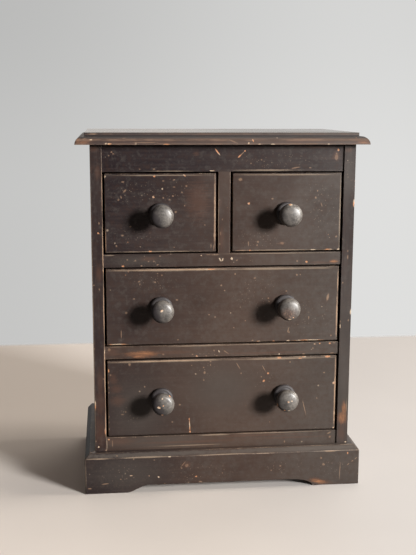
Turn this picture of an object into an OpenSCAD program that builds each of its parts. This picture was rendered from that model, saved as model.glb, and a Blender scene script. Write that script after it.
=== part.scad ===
// Small painted pine chest: two short drawers over two long ones, on a bracket plinth.
// The case stands on z = 0. Its drawers open towards -Y. The origin is under the middle of its box.

/* [Case] */
// Width over the two side panels
case_w = 300; // [260:1:360]
// Depth of the side panels, front edge to back edge
case_d = 182; // [150:1:230]
// Thickness of a side panel
side_t = 13; // [11:0.5:16]
// How far the side panels' lower ends stop above the floor
side_lift = 1.5; // [0.5:0.5:4]
// How far the rails stand back behind the side panels' front edges
face_set = 1.8; // [1:0.1:3]
// Thickness of the bottom board
board_t = 8; // [6:0.5:10]
// Depth of the housings that hold the bottom board
housing_d = 4; // [3:0.5:5]

/* [Front frame] */
// Height of the openings of the two upper drawers
upper_h = 92.5; // [75:0.5:110]
// Height of the opening of the middle drawer
middle_h = 92; // [75:0.5:110]
// Height of the opening of the lower drawer
lower_h = 94; // [75:1:120]
// Height of a rail between drawers
rail_h = 15; // [13:0.5:20]
// Depth of a rail between drawers, front to back
rail_d = 36; // [32:1:50]
// Height of the frieze rail under the top
frieze_h = 30.5; // [26:1:40]
// Thickness of the frieze rail and of the bottom rail
frieze_t = 13; // [12:0.5:16]
// Height of the bottom rail that shows above the plinth
sill_show = 15.5; // [12:0.5:22]
// Height of the bottom rail that goes down behind the plinth
sill_hide = 9.5; // [6:0.5:14]
// Width of the upright between the two upper drawers
divider_w = 14; // [13:0.5:20]
// Depth of the upright, front to back
divider_d = 30; // [26:1:31]

/* [Case joints] */
// Length of a stub tenon
tenon_l = 5; // [3:0.5:6]
// Shoulder left on each side of a tenon
shoulder = 3; // [2:0.5:4]
// Depth and height of the groove along a rail's back, for the runners' tongues
groove = 5; // [3:0.5:6]
// Clearance round a tenon, tongue, dovetail or housed edge
fit_gap = 0.1; // [0.05:0.05:0.3]

/* [Top] */
// Thickness of the top board
top_t = 13; // [11.5:0.5:18]
// Overhang of the top past the front and the right side, at the moulding's lip
overhang = 13; // [11.5:0.5:18]
// Overhang of the top past the left side, at the moulding's lip
overhang_left = 16; // [11.5:0.5:20]
// Radius of the quarter-round moulding
mould_r = 9; // [6:0.5:9.5]
// Width of the ledge between the moulding and the flat fillet over it
ledge = 1.5; // [0.5:0.5:2]

/* [Plinth] */
// Height of the plinth
plinth_h = 48; // [38:0.5:60]
// Thickness of the plinth boards
plinth_t = 12; // [9:0.5:16]
// Width of the chamfer along the plinth's top edge
plinth_chamfer = 5.5; // [2:0.5:8]
// Height of the bracket cut-out in the front
bracket_h = 8.5; // [5:0.5:14]
// Width of the left foot
foot_left = 47; // [35:1:70]
// Width of the right foot
foot_right = 56; // [35:1:70]
// Width of the curve beside each foot
bracket_w = 27; // [15:1:40]

/* [Runners and back] */
// Width of a side runner and of a side kicker
runner_w = 11; // [10:0.5:16]
// Height of a kicker over the upper drawers
kicker_h = 12; // [8:0.5:20]
// Height of the centre guide between the upper drawers
guide_h = 12; // [8:0.5:20]
// Thickness of the back boards
back_t = 6; // [5:0.5:8]
// Number of back boards
back_count = 3; // [2:1:5]
// Width of the half lap between two back boards
lap_w = 5; // [3:0.5:8]
// Width of the rebate in a side panel that takes the back boards
rebate_w = 6; // [4:0.5:8]
// Thickness of the rear rail under the top
rear_rail_t = 10; // [9:0.5:14]
// Edge of the square glue blocks
block = 12; // [8:0.5:14]
// Length of the glue blocks
block_l = 36; // [20:1:40]

/* [Drawers] */
// Gap between a drawer front and the frame, above and below
front_gap = 1.8; // [0.8:0.1:2.5]
// Gap between a drawer and the frame on each side
side_gap = 2.6; // [1:0.1:3.5]
// How far a drawer front stands ahead of the rails
front_proud = 0.4; // [0:0.1:1]
// Running clearance under a drawer's sides
run_gap = 0.3; // [0.2:0.1:0.6]
// Clearance above a drawer's sides
side_drop = 3; // [2.5:0.1:4]
// Thickness of a drawer front
front_t = 13; // [12:0.5:16]
// Thickness of a drawer's sides and back
wall_t = 7; // [6:0.5:8.5]
// Thickness of a drawer's bottom panel
panel_t = 4; // [3:0.5:5]
// Height of a drawer's bottom panel above the lower edges of its sides
panel_up = 6; // [4.5:0.5:9]
// Depth of the groove for the bottom panel
panel_groove = 3.5; // [2.5:0.5:4]
// How far a drawer's back is lower than its sides
back_drop = 6; // [2:1:15]
// Room behind a closed drawer
rear_room = 8; // [4:1:15]
// Height of the drawer stops on the rails
stop_h = 3; // [2:0.5:3.5]
// Width of a drawer stop
stop_w = 16; // [10:1:24]
// Depth of a drawer stop
stop_d = 8; // [5:0.5:12]
// Gap between a closed drawer front and its stops
stop_gap = 0.3; // [0.2:0.1:0.5]

/* [Dovetails] */
// Number of tails on each corner of a drawer
tail_count = 3; // [2:1:4]
// Width of a pin between two tails, at its narrow end
pin_w = 4; // [3:0.5:6]
// Slope of a dovetail's flank, sideways over lengthways
tail_slope = 0.14; // [0.1:0.01:0.2]
// Thickness of the lap that hides the tails behind a drawer front
lap_t = 3; // [2:0.5:5]

/* [Knobs] */
// Diameter of a knob's head
knob_d = 26; // [22:0.2:32]
// Radius of the rounded rim of the head
knob_rim = 6; // [4:0.25:6.5]
// Height of the head's dome over the middle of its rim
knob_rise = 7; // [7:0.25:10]
// Diameter of the collar that sits on the drawer front
collar_d = 26; // [24:0.2:30]
// Thickness of the collar
collar_t = 5; // [3:0.25:7]
// Diameter of the neck between the collar and the head
neck_d = 13.6; // [11:0.2:14]
// Length of the neck between its two hollows
neck_l = 6; // [0:0.5:8]
// Radius of the hollows at the ends of the neck
cove_r = 3.4; // [2.5:0.1:3.5]
// Diameter of the spigot that is glued into the drawer front
spigot_d = 10; // [8:0.5:11]
// Clearance round the spigot
spigot_gap = 0.05; // [0.02:0.01:0.1]
// How far the spigot's end stops short of the inside of the drawer front
spigot_short = 0.5; // [0:0.1:2]
// How far the knobs sit below the middle of a drawer front
knob_drop = 1; // [0:0.5:5]

/* [Hidden] */

paint = "#3c322e";
pine = "#c69b66";
past = 1;
$fn = 96;

// Heights of the frame, from the floor up
sill_foot = plinth_h - sill_hide;
sill_z = plinth_h + sill_show;
lower_rail_z = sill_z + lower_h;
upper_rail_z = lower_rail_z + rail_h + middle_h;
frieze_z = upper_rail_z + rail_h + upper_h;
top_z = frieze_z + frieze_h;

// Inside of the case
inner_x = case_w / 2 - side_t;
rail_back = face_set + rail_d;
frieze_back = face_set + frieze_t;
back_y = case_d - back_t;
rear_rail_y = back_y - rear_rail_t;
centre_w = divider_w + 2 * runner_w;

// Drawers: middle of the opening, width of the opening, floor of the opening, height of the opening
cell_w = inner_x - divider_w / 2;
cell_x = inner_x - cell_w / 2;
upper_left = [-cell_x, cell_w, upper_rail_z + rail_h, upper_h];
upper_right = [cell_x, cell_w, upper_rail_z + rail_h, upper_h];
middle = [0, 2 * inner_x, lower_rail_z + rail_h, middle_h];
lower = [0, 2 * inner_x, sill_z, lower_h];
front_y = face_set - front_proud;
front_back = front_y + front_t;
drawer_end = back_y - rear_room;

// Knobs: the rim's torus meets the dome's sphere and the hollow behind it without an edge
rim_c = knob_d / 2 - knob_rim;
rim_out = collar_t + 2 * cove_r + neck_l + knob_rim;
knob_out = rim_out + knob_rise;
cove_x = neck_d / 2 + cove_r;
cove_y = rim_out - sqrt(pow(cove_r + knob_rim, 2) - pow(cove_x - rim_c, 2));
dome_r = (pow(rim_c, 2) + pow(knob_rise, 2) - pow(knob_rim, 2)) / (2 * (knob_rise - knob_rim));
dome_c = knob_out - dome_r;

// The box of the whole chest is centred on x = 0 and on y = 0
case_x = (max(overhang_left, plinth_t) - max(overhang, plinth_t)) / 2;
reach = max(overhang, knob_out - front_y);
case_y = (reach - case_d) / 2;

// Puts a piece into the chest's frame, in its colour. It is drawn from the middle of the case's
// front plane.
module piece(tint) {
  color(tint)
  translate([case_x, case_y, 0])
  children();
}

// A bar from x0 to x1, y0 to y1 and z0 to z1.
module bar(x0, x1, y0, y1, z0, z1) {
  translate([x0, y0, z0])
  cube([x1 - x0, y1 - y0, z1 - z0]);
}

// A bar that is centred on x = 0 and w wide.
module beam(w, y0, y1, z0, z1) {
  bar(-w / 2, w / 2, y0, y1, z0, z1);
}

// The same shape on the left, or on the right, of the case.
module on_side(hand) {
  if (hand < 0) mirror([1, 0, 0]) children();
  else children();
}

// Extrudes an outline drawn in Y and Z along X, from x0 to x1.
module along_x(x0, x1) {
  translate([x0, 0, 0])
  rotate([90, 0, 90])
  linear_extrude(x1 - x0)
  children();
}

// Extrudes an outline drawn in X and Z along Y, from y0 to y1.
module along_y(y0, y1) {
  translate([0, y1, 0])
  rotate([90, 0, 0])
  linear_extrude(y1 - y0)
  children();
}

// ---- Case ----

// The two stub tenons of a cross rail, or their mortises when gap is the clearance.
module cross_tenons(y0, depth, z0, height, gap) {
  beam(2 * (inner_x + tenon_l + gap), y0 + shoulder - gap, y0 + depth - shoulder + gap,
    z0 + shoulder - gap, z0 + height - shoulder + gap);
}

// A rail across the case, with its tenons.
module cross_rail(y0, depth, z0, height) {
  beam(2 * inner_x, y0, y0 + depth, z0, z0 + height);
  cross_tenons(y0, depth, z0, height, 0);
}

// All the mortises that the side panels have for the rails.
module rail_mortises() {
  cross_tenons(face_set, frieze_t, frieze_z, frieze_h, fit_gap);
  cross_tenons(face_set, rail_d, upper_rail_z, rail_h, fit_gap);
  cross_tenons(face_set, rail_d, lower_rail_z, rail_h, fit_gap);
  cross_tenons(face_set, frieze_t, sill_foot, sill_z - sill_foot, fit_gap);
  cross_tenons(rear_rail_y, rear_rail_t, frieze_z, frieze_h, fit_gap);
}

// A side panel: mortises for the rails, a housing for the bottom board, a rebate for the back.
module side_panel(hand) {
  piece(paint)
  difference() {
    on_side(hand) bar(inner_x, inner_x + side_t, 0, case_d, side_lift, top_z);
    rail_mortises();
    beam(2 * (inner_x + housing_d + fit_gap), frieze_back, case_d + past,
      sill_z - board_t - fit_gap, sill_z + fit_gap);
    beam(2 * (inner_x + rebate_w), back_y, case_d + past, 0, top_z + past);
  }
}

// The outline of the top's edge: a flat fillet and a ledge over a quarter-round that ends in the lip.
// The lip is on x = 0, and the board goes on to x = length.
module top_outline(length) {
  translate([mould_r + ledge, 0]) square([length - mould_r - ledge, top_t]);
  translate([mould_r, 0]) square([ledge + past, mould_r]);
  intersection() {
    translate([mould_r, 0]) circle(mould_r);
    square([mould_r + past, top_t]);
  }
}

module top_board() {
  piece(paint)
  intersection() {
    along_x(-case_w / 2 - overhang_left, case_w / 2 + overhang)
    translate([-overhang, top_z])
    top_outline(case_d + overhang);
    along_y(-overhang, case_d)
    for (end = [[1, overhang_left], [-1, overhang]])
      on_side(end[0])
      translate([-case_w / 2 - end[1], top_z])
      top_outline(case_w / 2 + end[1]);
  }
}

// A three-cornered glue block along X: its square corner is at y, z.
module glue_block(x, y, z, up) {
  along_x(x - block_l / 2, x + block_l / 2)
  translate([y, z])
  polygon([[0, 0], [block, 0], [0, up * block]]);
}

// Glue blocks in the corner between the frieze rail and the top.
module top_blocks() {
  piece(pine)
  for (hand = [-1, 1]) glue_block(hand * cell_x, frieze_back, top_z, -1);
}

// The bottom board: housed in the sides, and in a rebate of the bottom rail.
module bottom_board() {
  piece(pine) {
    beam(2 * (inner_x + housing_d), frieze_back + fit_gap, back_y, sill_z - board_t, sill_z);
    beam(2 * inner_x - 2 * fit_gap, frieze_back - groove + fit_gap, frieze_back + past,
      sill_z - board_t, sill_z);
  }
}

// The stub tenon of the upright in the rail at z, going up or down from it.
module divider_tenon(depth, z, up, gap) {
  root = z - up * past;
  tip = z + up * (tenon_l + gap);
  beam(divider_w - 2 * shoulder + 2 * gap, face_set + shoulder - gap,
    face_set + depth - shoulder + gap, min(root, tip), max(root, tip));
}

module frieze_rail() {
  piece(paint)
  difference() {
    cross_rail(face_set, frieze_t, frieze_z, frieze_h);
    divider_tenon(frieze_t, frieze_z, 1, fit_gap);
  }
}

// A rail between two drawers, with the groove along its back for the runners' tongues.
module drawer_rail(z) {
  difference() {
    cross_rail(face_set, rail_d, z, rail_h);
    beam(2 * inner_x, rail_back - groove - fit_gap, rail_back + past,
      z + (rail_h - groove) / 2 - fit_gap, z + (rail_h + groove) / 2 + fit_gap);
  }
}

module upper_rail() {
  piece(paint)
  difference() {
    drawer_rail(upper_rail_z);
    divider_tenon(divider_d, upper_rail_z + rail_h, -1, fit_gap);
  }
}

module lower_rail() {
  piece(paint) drawer_rail(lower_rail_z);
}

module bottom_rail() {
  piece(paint)
  difference() {
    cross_rail(face_set, frieze_t, sill_foot, sill_z - sill_foot);
    beam(2 * inner_x, frieze_back - groove, frieze_back + past,
      sill_z - board_t, sill_z + past);
  }
}

module rear_rail() {
  piece(pine) cross_rail(rear_rail_y, rear_rail_t, frieze_z, frieze_h);
}

// The upright between the upper drawers, stub-tenoned above and below.
module drawer_divider() {
  foot_z = upper_rail_z + rail_h;
  piece(paint) {
    beam(divider_w, face_set, face_set + divider_d, foot_z, frieze_z);
    divider_tenon(frieze_t, frieze_z, 1, 0);
    divider_tenon(divider_d, foot_z, -1, 0);
  }
}

// A runner behind the rail at z, from x0 to x1, with its tongue in the rail's groove.
module runner(x0, x1, z) {
  bar(x0, x1, rail_back, back_y, z, z + rail_h);
  bar(x0, x1, rail_back - groove, rail_back + past,
    z + (rail_h - groove) / 2, z + (rail_h + groove) / 2);
}

module side_runner(hand, z) {
  piece(pine)
  on_side(hand)
  runner(inner_x - runner_w, inner_x, z);
}

module centre_runner() {
  piece(pine) runner(-centre_w / 2, centre_w / 2, upper_rail_z);
}

module centre_guide() {
  foot_z = upper_rail_z + rail_h;
  piece(pine) beam(divider_w, face_set + divider_d, back_y, foot_z, foot_z + guide_h);
}

module side_kicker(hand) {
  piece(pine)
  on_side(hand)
  bar(inner_x - runner_w, inner_x, frieze_back, rear_rail_y, frieze_z, frieze_z + kicker_h);
}

module centre_kicker() {
  piece(pine) beam(centre_w, frieze_back, rear_rail_y, frieze_z, frieze_z + kicker_h);
}

// Two stops under each drawer, a quarter of its opening in from each end.
module drawer_stops() {
  piece(pine)
  for (d = [upper_left, upper_right, middle, lower], hand = [-1, 1])
    translate([d[0] + hand * d[1] / 4, front_back + stop_gap, d[2]])
    beam(stop_w, 0, stop_d, 0, stop_h);
}

// Upright boards in the rebates of the sides, half-lapped over each other.
module back_boards() {
  full_w = 2 * (inner_x + rebate_w - fit_gap);
  pitch = full_w / back_count;
  half_y = back_y + back_t / 2;
  piece(pine)
  for (i = [0 : back_count - 1])
    translate([i * pitch - full_w / 2, 0, 0])
    difference() {
      union() {
        bar(0, pitch - (i < back_count - 1 ? fit_gap : 0), back_y, case_d, sill_foot, top_z);
        if (i < back_count - 1) bar(pitch - past, pitch + lap_w, back_y, half_y, sill_foot, top_z);
      }
      if (i > 0) bar(-past, lap_w + fit_gap, back_y - past, half_y + fit_gap, 0, top_z + past);
    }
}

// ---- Plinth ----

// The outline of a plinth board: u goes outwards from the case, v up.
module plinth_outline() {
  polygon([
    [0, 0], [plinth_t, 0], [plinth_t, plinth_h - plinth_chamfer],
    [plinth_t - plinth_chamfer, plinth_h], [0, plinth_h]
  ]);
}

// The cut-out between the front feet: a double curve on the left, a hollow curve on the right.
module bracket_outline() {
  steps = 12;
  left_x = -case_w / 2 - plinth_t + foot_left;
  right_x = case_w / 2 + plinth_t - foot_right;
  polygon(concat(
    [[left_x, -past]],
    [for (i = [0 : steps])
      [left_x + bracket_w * i / steps, bracket_h * (1 - cos(180 * i / steps)) / 2]],
    [for (i = [steps : -1 : 0])
      [right_x - bracket_w * (1 - cos(90 * i / steps)), bracket_h * sin(90 * i / steps)]],
    [[right_x, -past]]
  ));
}

module plinth_front() {
  outer = case_w / 2 + plinth_t;
  piece(paint)
  difference() {
    intersection() {
      along_x(-outer, outer) mirror([1, 0]) plinth_outline();
      linear_extrude(plinth_h)
      polygon([[-outer, -plinth_t], [outer, -plinth_t], [case_w / 2, 0], [-case_w / 2, 0]]);
    }
    along_y(-plinth_t - past, past) bracket_outline();
  }
}

module plinth_side(hand) {
  outer = case_w / 2 + plinth_t;
  piece(paint)
  on_side(hand)
  intersection() {
    along_y(-plinth_t, case_d) translate([case_w / 2, 0]) plinth_outline();
    linear_extrude(plinth_h)
    polygon([[case_w / 2, 0], [outer, -plinth_t], [outer, case_d], [case_w / 2, case_d]]);
  }
}

// Two upright blocks in the front corners, two lying ones under the bottom rail.
module plinth_blocks() {
  piece(pine)
  for (hand = [-1, 1]) {
    on_side(hand)
    translate([0, 0, side_lift])
    linear_extrude(sill_foot - 2 * side_lift)
    polygon([[inner_x, 0], [inner_x - block, 0], [inner_x, block]]);
    glue_block(hand * cell_x / 2, 0, sill_foot, -1);
  }
}

// ---- Drawers ----

// One tail, drawn in Y and Z: its shoulder is on y = 0 and its wide end at y = length.
module tail_outline(length, width, gap) {
  narrow = width / 2 - tail_slope * length;
  polygon([
    [-past, narrow + gap], [0, narrow + gap], [length + gap, width / 2 + gap],
    [length + gap, -width / 2 - gap], [0, -narrow - gap], [-past, -narrow - gap]
  ]);
}

// A row of tails between z0 and z1, with half a pin outside the first and the last.
module tail_row(length, z0, z1, gap) {
  pitch = (z1 - z0) / tail_count;
  for (i = [0 : tail_count - 1])
    translate([0, z0 + (i + 0.5) * pitch])
    tail_outline(length, pitch - pin_w, gap);
}

// The tails at the front of a drawer's side: they end behind the lap.
module front_tails(d, gap) {
  translate([front_back, d[2]])
  mirror([1, 0])
  tail_row(front_t - lap_t, front_gap + pin_w / 2, d[3] - front_gap - pin_w / 2, gap);
}

// The tails at the back of a drawer's side: they go right through the back.
module back_tails(d, gap) {
  translate([drawer_end - wall_t, d[2]])
  tail_row(wall_t, run_gap + panel_up + panel_t + pin_w / 2,
    d[3] - side_drop - back_drop - pin_w / 2, gap);
}

// Outer half width of a drawer's box
function half_w(d) = d[1] / 2 - side_gap;

// Height of a drawer's knobs
function knob_z(d) = d[2] + d[3] / 2 - knob_drop;

// A drawer front: sockets for the tails, a groove for the bottom, and bores for the knobs.
module drawer_front(d, knobs) {
  w = half_w(d);
  z0 = d[2] + front_gap;
  z1 = d[2] + d[3] - front_gap;
  groove_z = d[2] + run_gap + panel_up;
  piece(paint)
  translate([d[0], 0, 0])
  difference() {
    beam(2 * w, front_y, front_back, z0, z1);
    for (hand = [-1, 1])
      on_side(hand)
      along_x(w - wall_t - fit_gap, w + past)
      front_tails(d, fit_gap);
    beam(2 * (w - wall_t), front_back - panel_groove, front_back + past,
      groove_z - fit_gap, groove_z + panel_t + fit_gap);
    for (x = knobs)
      translate([x, front_y - past, knob_z(d)])
      rotate([-90, 0, 0])
      cylinder(r = spigot_d / 2 + spigot_gap, h = front_t + 2 * past);
  }
}

// A drawer's side, with tails at both ends and a groove for the bottom.
module drawer_side(d, hand) {
  w = half_w(d);
  z0 = d[2] + run_gap;
  z1 = d[2] + d[3] - side_drop;
  groove_z = z0 + panel_up;
  piece(pine)
  translate([d[0], 0, 0])
  on_side(hand)
  difference() {
    union() {
      bar(w - wall_t, w, front_back, drawer_end - wall_t, z0, z1);
      bar(w - wall_t, w, front_back, drawer_end, z0, groove_z + panel_t - fit_gap);
      along_x(w - wall_t, w) front_tails(d, 0);
      along_x(w - wall_t, w) back_tails(d, 0);
    }
    bar(w - wall_t - past, w - wall_t + panel_groove, front_back - front_t, drawer_end + past,
      groove_z, groove_z + panel_t + fit_gap);
  }
}

// A drawer's back: it stands on the bottom panel, and its pins show outside.
module drawer_back(d) {
  w = half_w(d);
  piece(pine)
  translate([d[0], 0, 0])
  difference() {
    beam(2 * w, drawer_end - wall_t, drawer_end,
      d[2] + run_gap + panel_up + panel_t, d[2] + d[3] - side_drop - back_drop);
    for (hand = [-1, 1])
      on_side(hand)
      along_x(w - wall_t - fit_gap, w + past)
      back_tails(d, fit_gap);
  }
}

// A drawer's bottom panel: in grooves of the front and the sides, under the back.
module drawer_bottom(d) {
  w = half_w(d) - wall_t;
  z0 = d[2] + run_gap + panel_up;
  piece(pine)
  translate([d[0], 0, 0]) {
    beam(2 * (w + panel_groove - fit_gap), front_back + fit_gap, drawer_end, z0, z0 + panel_t);
    beam(2 * (w - fit_gap), front_back - panel_groove + fit_gap, front_back + past,
      z0, z0 + panel_t);
  }
}

// The turned outline of a knob: x is the radius, y goes out from the drawer front.
module knob_outline() {
  bead = collar_t / 2;
  spigot_l = front_t - spigot_short;
  translate([0, -spigot_l]) square([spigot_d / 2, spigot_l + past]);
  square([collar_d / 2 - bead, collar_t]);
  translate([collar_d / 2 - bead, bead]) circle(bead);
  square([neck_d / 2, rim_out]);
  difference() {
    square([cove_x, collar_t + cove_r]);
    translate([cove_x, collar_t + cove_r]) circle(cove_r);
  }
  difference() {
    polygon([[0, cove_y], [cove_x, cove_y], [rim_c, rim_out], [0, rim_out]]);
    translate([cove_x, cove_y]) circle(cove_r);
  }
  translate([rim_c, rim_out]) circle(knob_rim);
  intersection() {
    translate([0, dome_c]) circle(dome_r);
    polygon([
      [0, dome_c], [2 * rim_c, dome_c + 2 * (rim_out - dome_c)], [0, dome_c + 2 * dome_r]
    ]);
  }
}

// A knob on a drawer, x away from the drawer's middle.
module knob(d, x) {
  piece(paint)
  translate([d[0] + x, front_y, knob_z(d)])
  rotate([90, 0, 0])
  rotate_extrude()
  knob_outline();
}

side_panel(-1);  // side_left
side_panel(1);  // side_right
top_board();
top_blocks();
bottom_board();
frieze_rail();
upper_rail();
lower_rail();
bottom_rail();
rear_rail();
drawer_divider();
side_runner(-1, upper_rail_z);  // runner_upper_left
side_runner(1, upper_rail_z);  // runner_upper_right
side_runner(-1, lower_rail_z);  // runner_lower_left
side_runner(1, lower_rail_z);  // runner_lower_right
centre_runner();
centre_guide();
side_kicker(-1);  // kicker_left
side_kicker(1);  // kicker_right
centre_kicker();
drawer_stops();
back_boards();
plinth_front();
plinth_side(-1);  // plinth_left
plinth_side(1);  // plinth_right
plinth_blocks();
drawer_front(upper_left, [0]);  // upper_left_drawer_front
drawer_side(upper_left, -1);  // upper_left_drawer_side_left
drawer_side(upper_left, 1);  // upper_left_drawer_side_right
drawer_back(upper_left);  // upper_left_drawer_back
drawer_bottom(upper_left);  // upper_left_drawer_bottom
knob(upper_left, 0);  // upper_left_knob
drawer_front(upper_right, [0]);  // upper_right_drawer_front
drawer_side(upper_right, -1);  // upper_right_drawer_side_left
drawer_side(upper_right, 1);  // upper_right_drawer_side_right
drawer_back(upper_right);  // upper_right_drawer_back
drawer_bottom(upper_right);  // upper_right_drawer_bottom
knob(upper_right, 0);  // upper_right_knob
drawer_front(middle, [-cell_x, cell_x]);  // middle_drawer_front
drawer_side(middle, -1);  // middle_drawer_side_left
drawer_side(middle, 1);  // middle_drawer_side_right
drawer_back(middle);  // middle_drawer_back
drawer_bottom(middle);  // middle_drawer_bottom
knob(middle, -cell_x);  // middle_knob_left
knob(middle, cell_x);  // middle_knob_right
drawer_front(lower, [-cell_x, cell_x]);  // lower_drawer_front
drawer_side(lower, -1);  // lower_drawer_side_left
drawer_side(lower, 1);  // lower_drawer_side_right
drawer_back(lower);  // lower_drawer_back
drawer_bottom(lower);  // lower_drawer_bottom
knob(lower, -cell_x);  // lower_knob_left
knob(lower, cell_x);  // lower_knob_right
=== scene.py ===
import math
import random
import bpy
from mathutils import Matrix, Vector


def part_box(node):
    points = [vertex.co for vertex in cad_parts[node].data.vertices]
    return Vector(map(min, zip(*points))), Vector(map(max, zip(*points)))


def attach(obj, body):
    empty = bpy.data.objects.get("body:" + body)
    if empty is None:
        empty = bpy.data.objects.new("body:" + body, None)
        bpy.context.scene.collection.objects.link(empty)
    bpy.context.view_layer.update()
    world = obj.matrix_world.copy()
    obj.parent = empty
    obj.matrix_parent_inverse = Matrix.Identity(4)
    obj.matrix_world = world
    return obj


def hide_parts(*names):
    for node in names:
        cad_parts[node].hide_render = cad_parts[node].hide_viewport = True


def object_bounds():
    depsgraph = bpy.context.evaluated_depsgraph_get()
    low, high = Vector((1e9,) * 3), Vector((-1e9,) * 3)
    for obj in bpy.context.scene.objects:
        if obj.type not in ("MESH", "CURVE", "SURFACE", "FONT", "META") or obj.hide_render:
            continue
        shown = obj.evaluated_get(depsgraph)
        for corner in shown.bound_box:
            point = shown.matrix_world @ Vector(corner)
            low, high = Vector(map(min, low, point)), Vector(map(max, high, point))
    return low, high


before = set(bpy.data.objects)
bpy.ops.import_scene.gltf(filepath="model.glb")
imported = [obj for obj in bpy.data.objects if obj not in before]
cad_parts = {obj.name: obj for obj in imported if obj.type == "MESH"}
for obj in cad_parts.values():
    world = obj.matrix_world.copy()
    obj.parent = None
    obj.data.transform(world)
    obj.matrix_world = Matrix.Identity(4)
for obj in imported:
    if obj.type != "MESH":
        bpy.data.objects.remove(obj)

import types

import bmesh
import bpy
from mathutils import Matrix, Vector, noise

# A small painted pine chest of drawers: softened and worn edges, dark satin paint over pine,
# bare pine inside and behind, and a plain studio. Lengths are in metres in the scene; wear
# marks and shader patterns are laid out in millimetres.

bl_info = {
    "name": "Painted Pine Chest",
    "version": (1, 0, 0),
    "blender": (4, 5, 0),
    "location": "3D View > Sidebar > Chest",
    "description": "Finishes a small painted pine chest of drawers and sets up its studio",
    "category": "Object",
}

CAD_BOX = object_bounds()

MM = 0.001
MERGE = 1e-6  # how near two corners lie that are one
TOUCH = 2e-5  # how near an edge lies to a side of the box that it is on
FLAT_ANGLE = math.radians(0.4)
SHARP_ANGLE = math.radians(32)
SMOOTH_ANGLE = math.radians(30)
WEAR_STEP = 2.6 * MM  # length of the pieces that a worn edge is cut into

CARCASE = "carcase"
DRAWERS = ("upper_left", "upper_right", "middle", "lower")
KNOBS = {
    "upper_left": ("upper_left_knob",),
    "upper_right": ("upper_right_knob",),
    "middle": ("middle_knob_left", "middle_knob_right"),
    "lower": ("lower_knob_left", "lower_knob_right"),
}
PAINTED_UPRIGHTS = ("side_left", "side_right", "drawer_divider")
PAINTED_RAILS = ("frieze_rail", "upper_rail", "lower_rail", "bottom_rail")
PLINTH = ("plinth_front", "plinth_left", "plinth_right")
INNER_ALONG_X = ("rear_rail", "bottom_board", "top_blocks", "drawer_stops")
INNER_ALONG_Y = (
    "runner_upper_left", "runner_upper_right", "runner_lower_left", "runner_lower_right",
    "centre_runner", "centre_guide", "kicker_left", "kicker_right", "centre_kicker",
)
INNER_ALONG_Z = ("back_boards", "plinth_blocks")

AXIS = {"X": 0, "Y": 1, "Z": 2}

# x of the case's middle, and the top's height, in millimetres
MIDDLE = (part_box("side_left")[0][0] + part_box("side_right")[1][0]) / 2 / MM
TOP_Z = CAD_BOX[1][2] / MM


# ---- Settings ----

class PaintSettings(bpy.types.PropertyGroup):
    colour: bpy.props.FloatVectorProperty(
        name="Paint", description="Dark top coat of the case and the drawer fronts",
        subtype="COLOR", size=3, min=0, max=1, default=(0.012, 0.0065, 0.0085))
    # where painted light makes the coat lighter towards the right, it goes towards this colour as
    # well
    bleached_and_painted_light: bpy.props.FloatVectorProperty(
        name="Bleached paint", description="Top coat where the sun has bleached it",
        subtype="COLOR", size=3, min=0, max=1, default=(0.074, 0.048, 0.036))
    # at the right-hand end and along the plinth's chamfer this grey is painted sheen
    greyed_and_painted_sheen: bpy.props.FloatVectorProperty(
        name="Greyed paint", description="Top coat where it has gone grey, at the right-hand end",
        subtype="COLOR", size=3, min=0, max=1, default=(0.062, 0.053, 0.046))
    undercoat: bpy.props.FloatVectorProperty(
        name="Rubbed paint", description="Red-brown that shows where the top coat is rubbed thin",
        subtype="COLOR", size=3, min=0, max=1, default=(0.115, 0.056, 0.036))
    bare: bpy.props.FloatVectorProperty(
        name="Bare wood", description="Pine that shows in a chip",
        subtype="COLOR", size=3, min=0, max=1, default=(0.62, 0.28, 0.13))
    filler: bpy.props.FloatVectorProperty(
        name="Old ground", description="Pale ground that shows in some chips and specks",
        subtype="COLOR", size=3, min=0, max=1, default=(0.62, 0.47, 0.33))
    roughness: bpy.props.FloatProperty(
        name="Roughness", description="Roughness of sound paint",
        subtype="FACTOR", min=0.1, max=0.9, default=0.39)
    arris: bpy.props.FloatProperty(
        name="Arris", description="Width of the rounding on painted edges",
        subtype="DISTANCE", unit="LENGTH", min=0.0003, max=0.002, default=0.6 * MM)
    wear: bpy.props.FloatProperty(
        name="Edge wear", description="Greatest depth of the uneven wear on painted edges",
        subtype="DISTANCE", unit="LENGTH", min=0, max=0.0015, default=0.5 * MM)


class PineSettings(bpy.types.PropertyGroup):
    light: bpy.props.FloatVectorProperty(
        name="Early wood", description="Pale wood between the year rings",
        subtype="COLOR", size=3, min=0, max=1, default=(0.60, 0.40, 0.21))
    dark: bpy.props.FloatVectorProperty(
        name="Late wood", description="Darker wood of the year rings",
        subtype="COLOR", size=3, min=0, max=1, default=(0.42, 0.22, 0.09))
    ring: bpy.props.FloatProperty(
        name="Year ring", description="Mean distance between two year rings",
        subtype="DISTANCE", unit="LENGTH", min=0.001, max=0.006, default=2.6 * MM)
    arris: bpy.props.FloatProperty(
        name="Arris", description="Width of the rounding on unpainted edges",
        subtype="DISTANCE", unit="LENGTH", min=0.0001, max=0.001, default=0.35 * MM)


class KnobSettings(bpy.types.PropertyGroup):
    colour: bpy.props.FloatVectorProperty(
        name="Knob paint", description="Greyer top coat of the turned knobs",
        subtype="COLOR", size=3, min=0, max=1, default=(0.118, 0.105, 0.092))
    roughness: bpy.props.FloatProperty(
        name="Roughness", description="Roughness of the knobs' paint",
        subtype="FACTOR", min=0.1, max=0.9, default=0.42)


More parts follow.
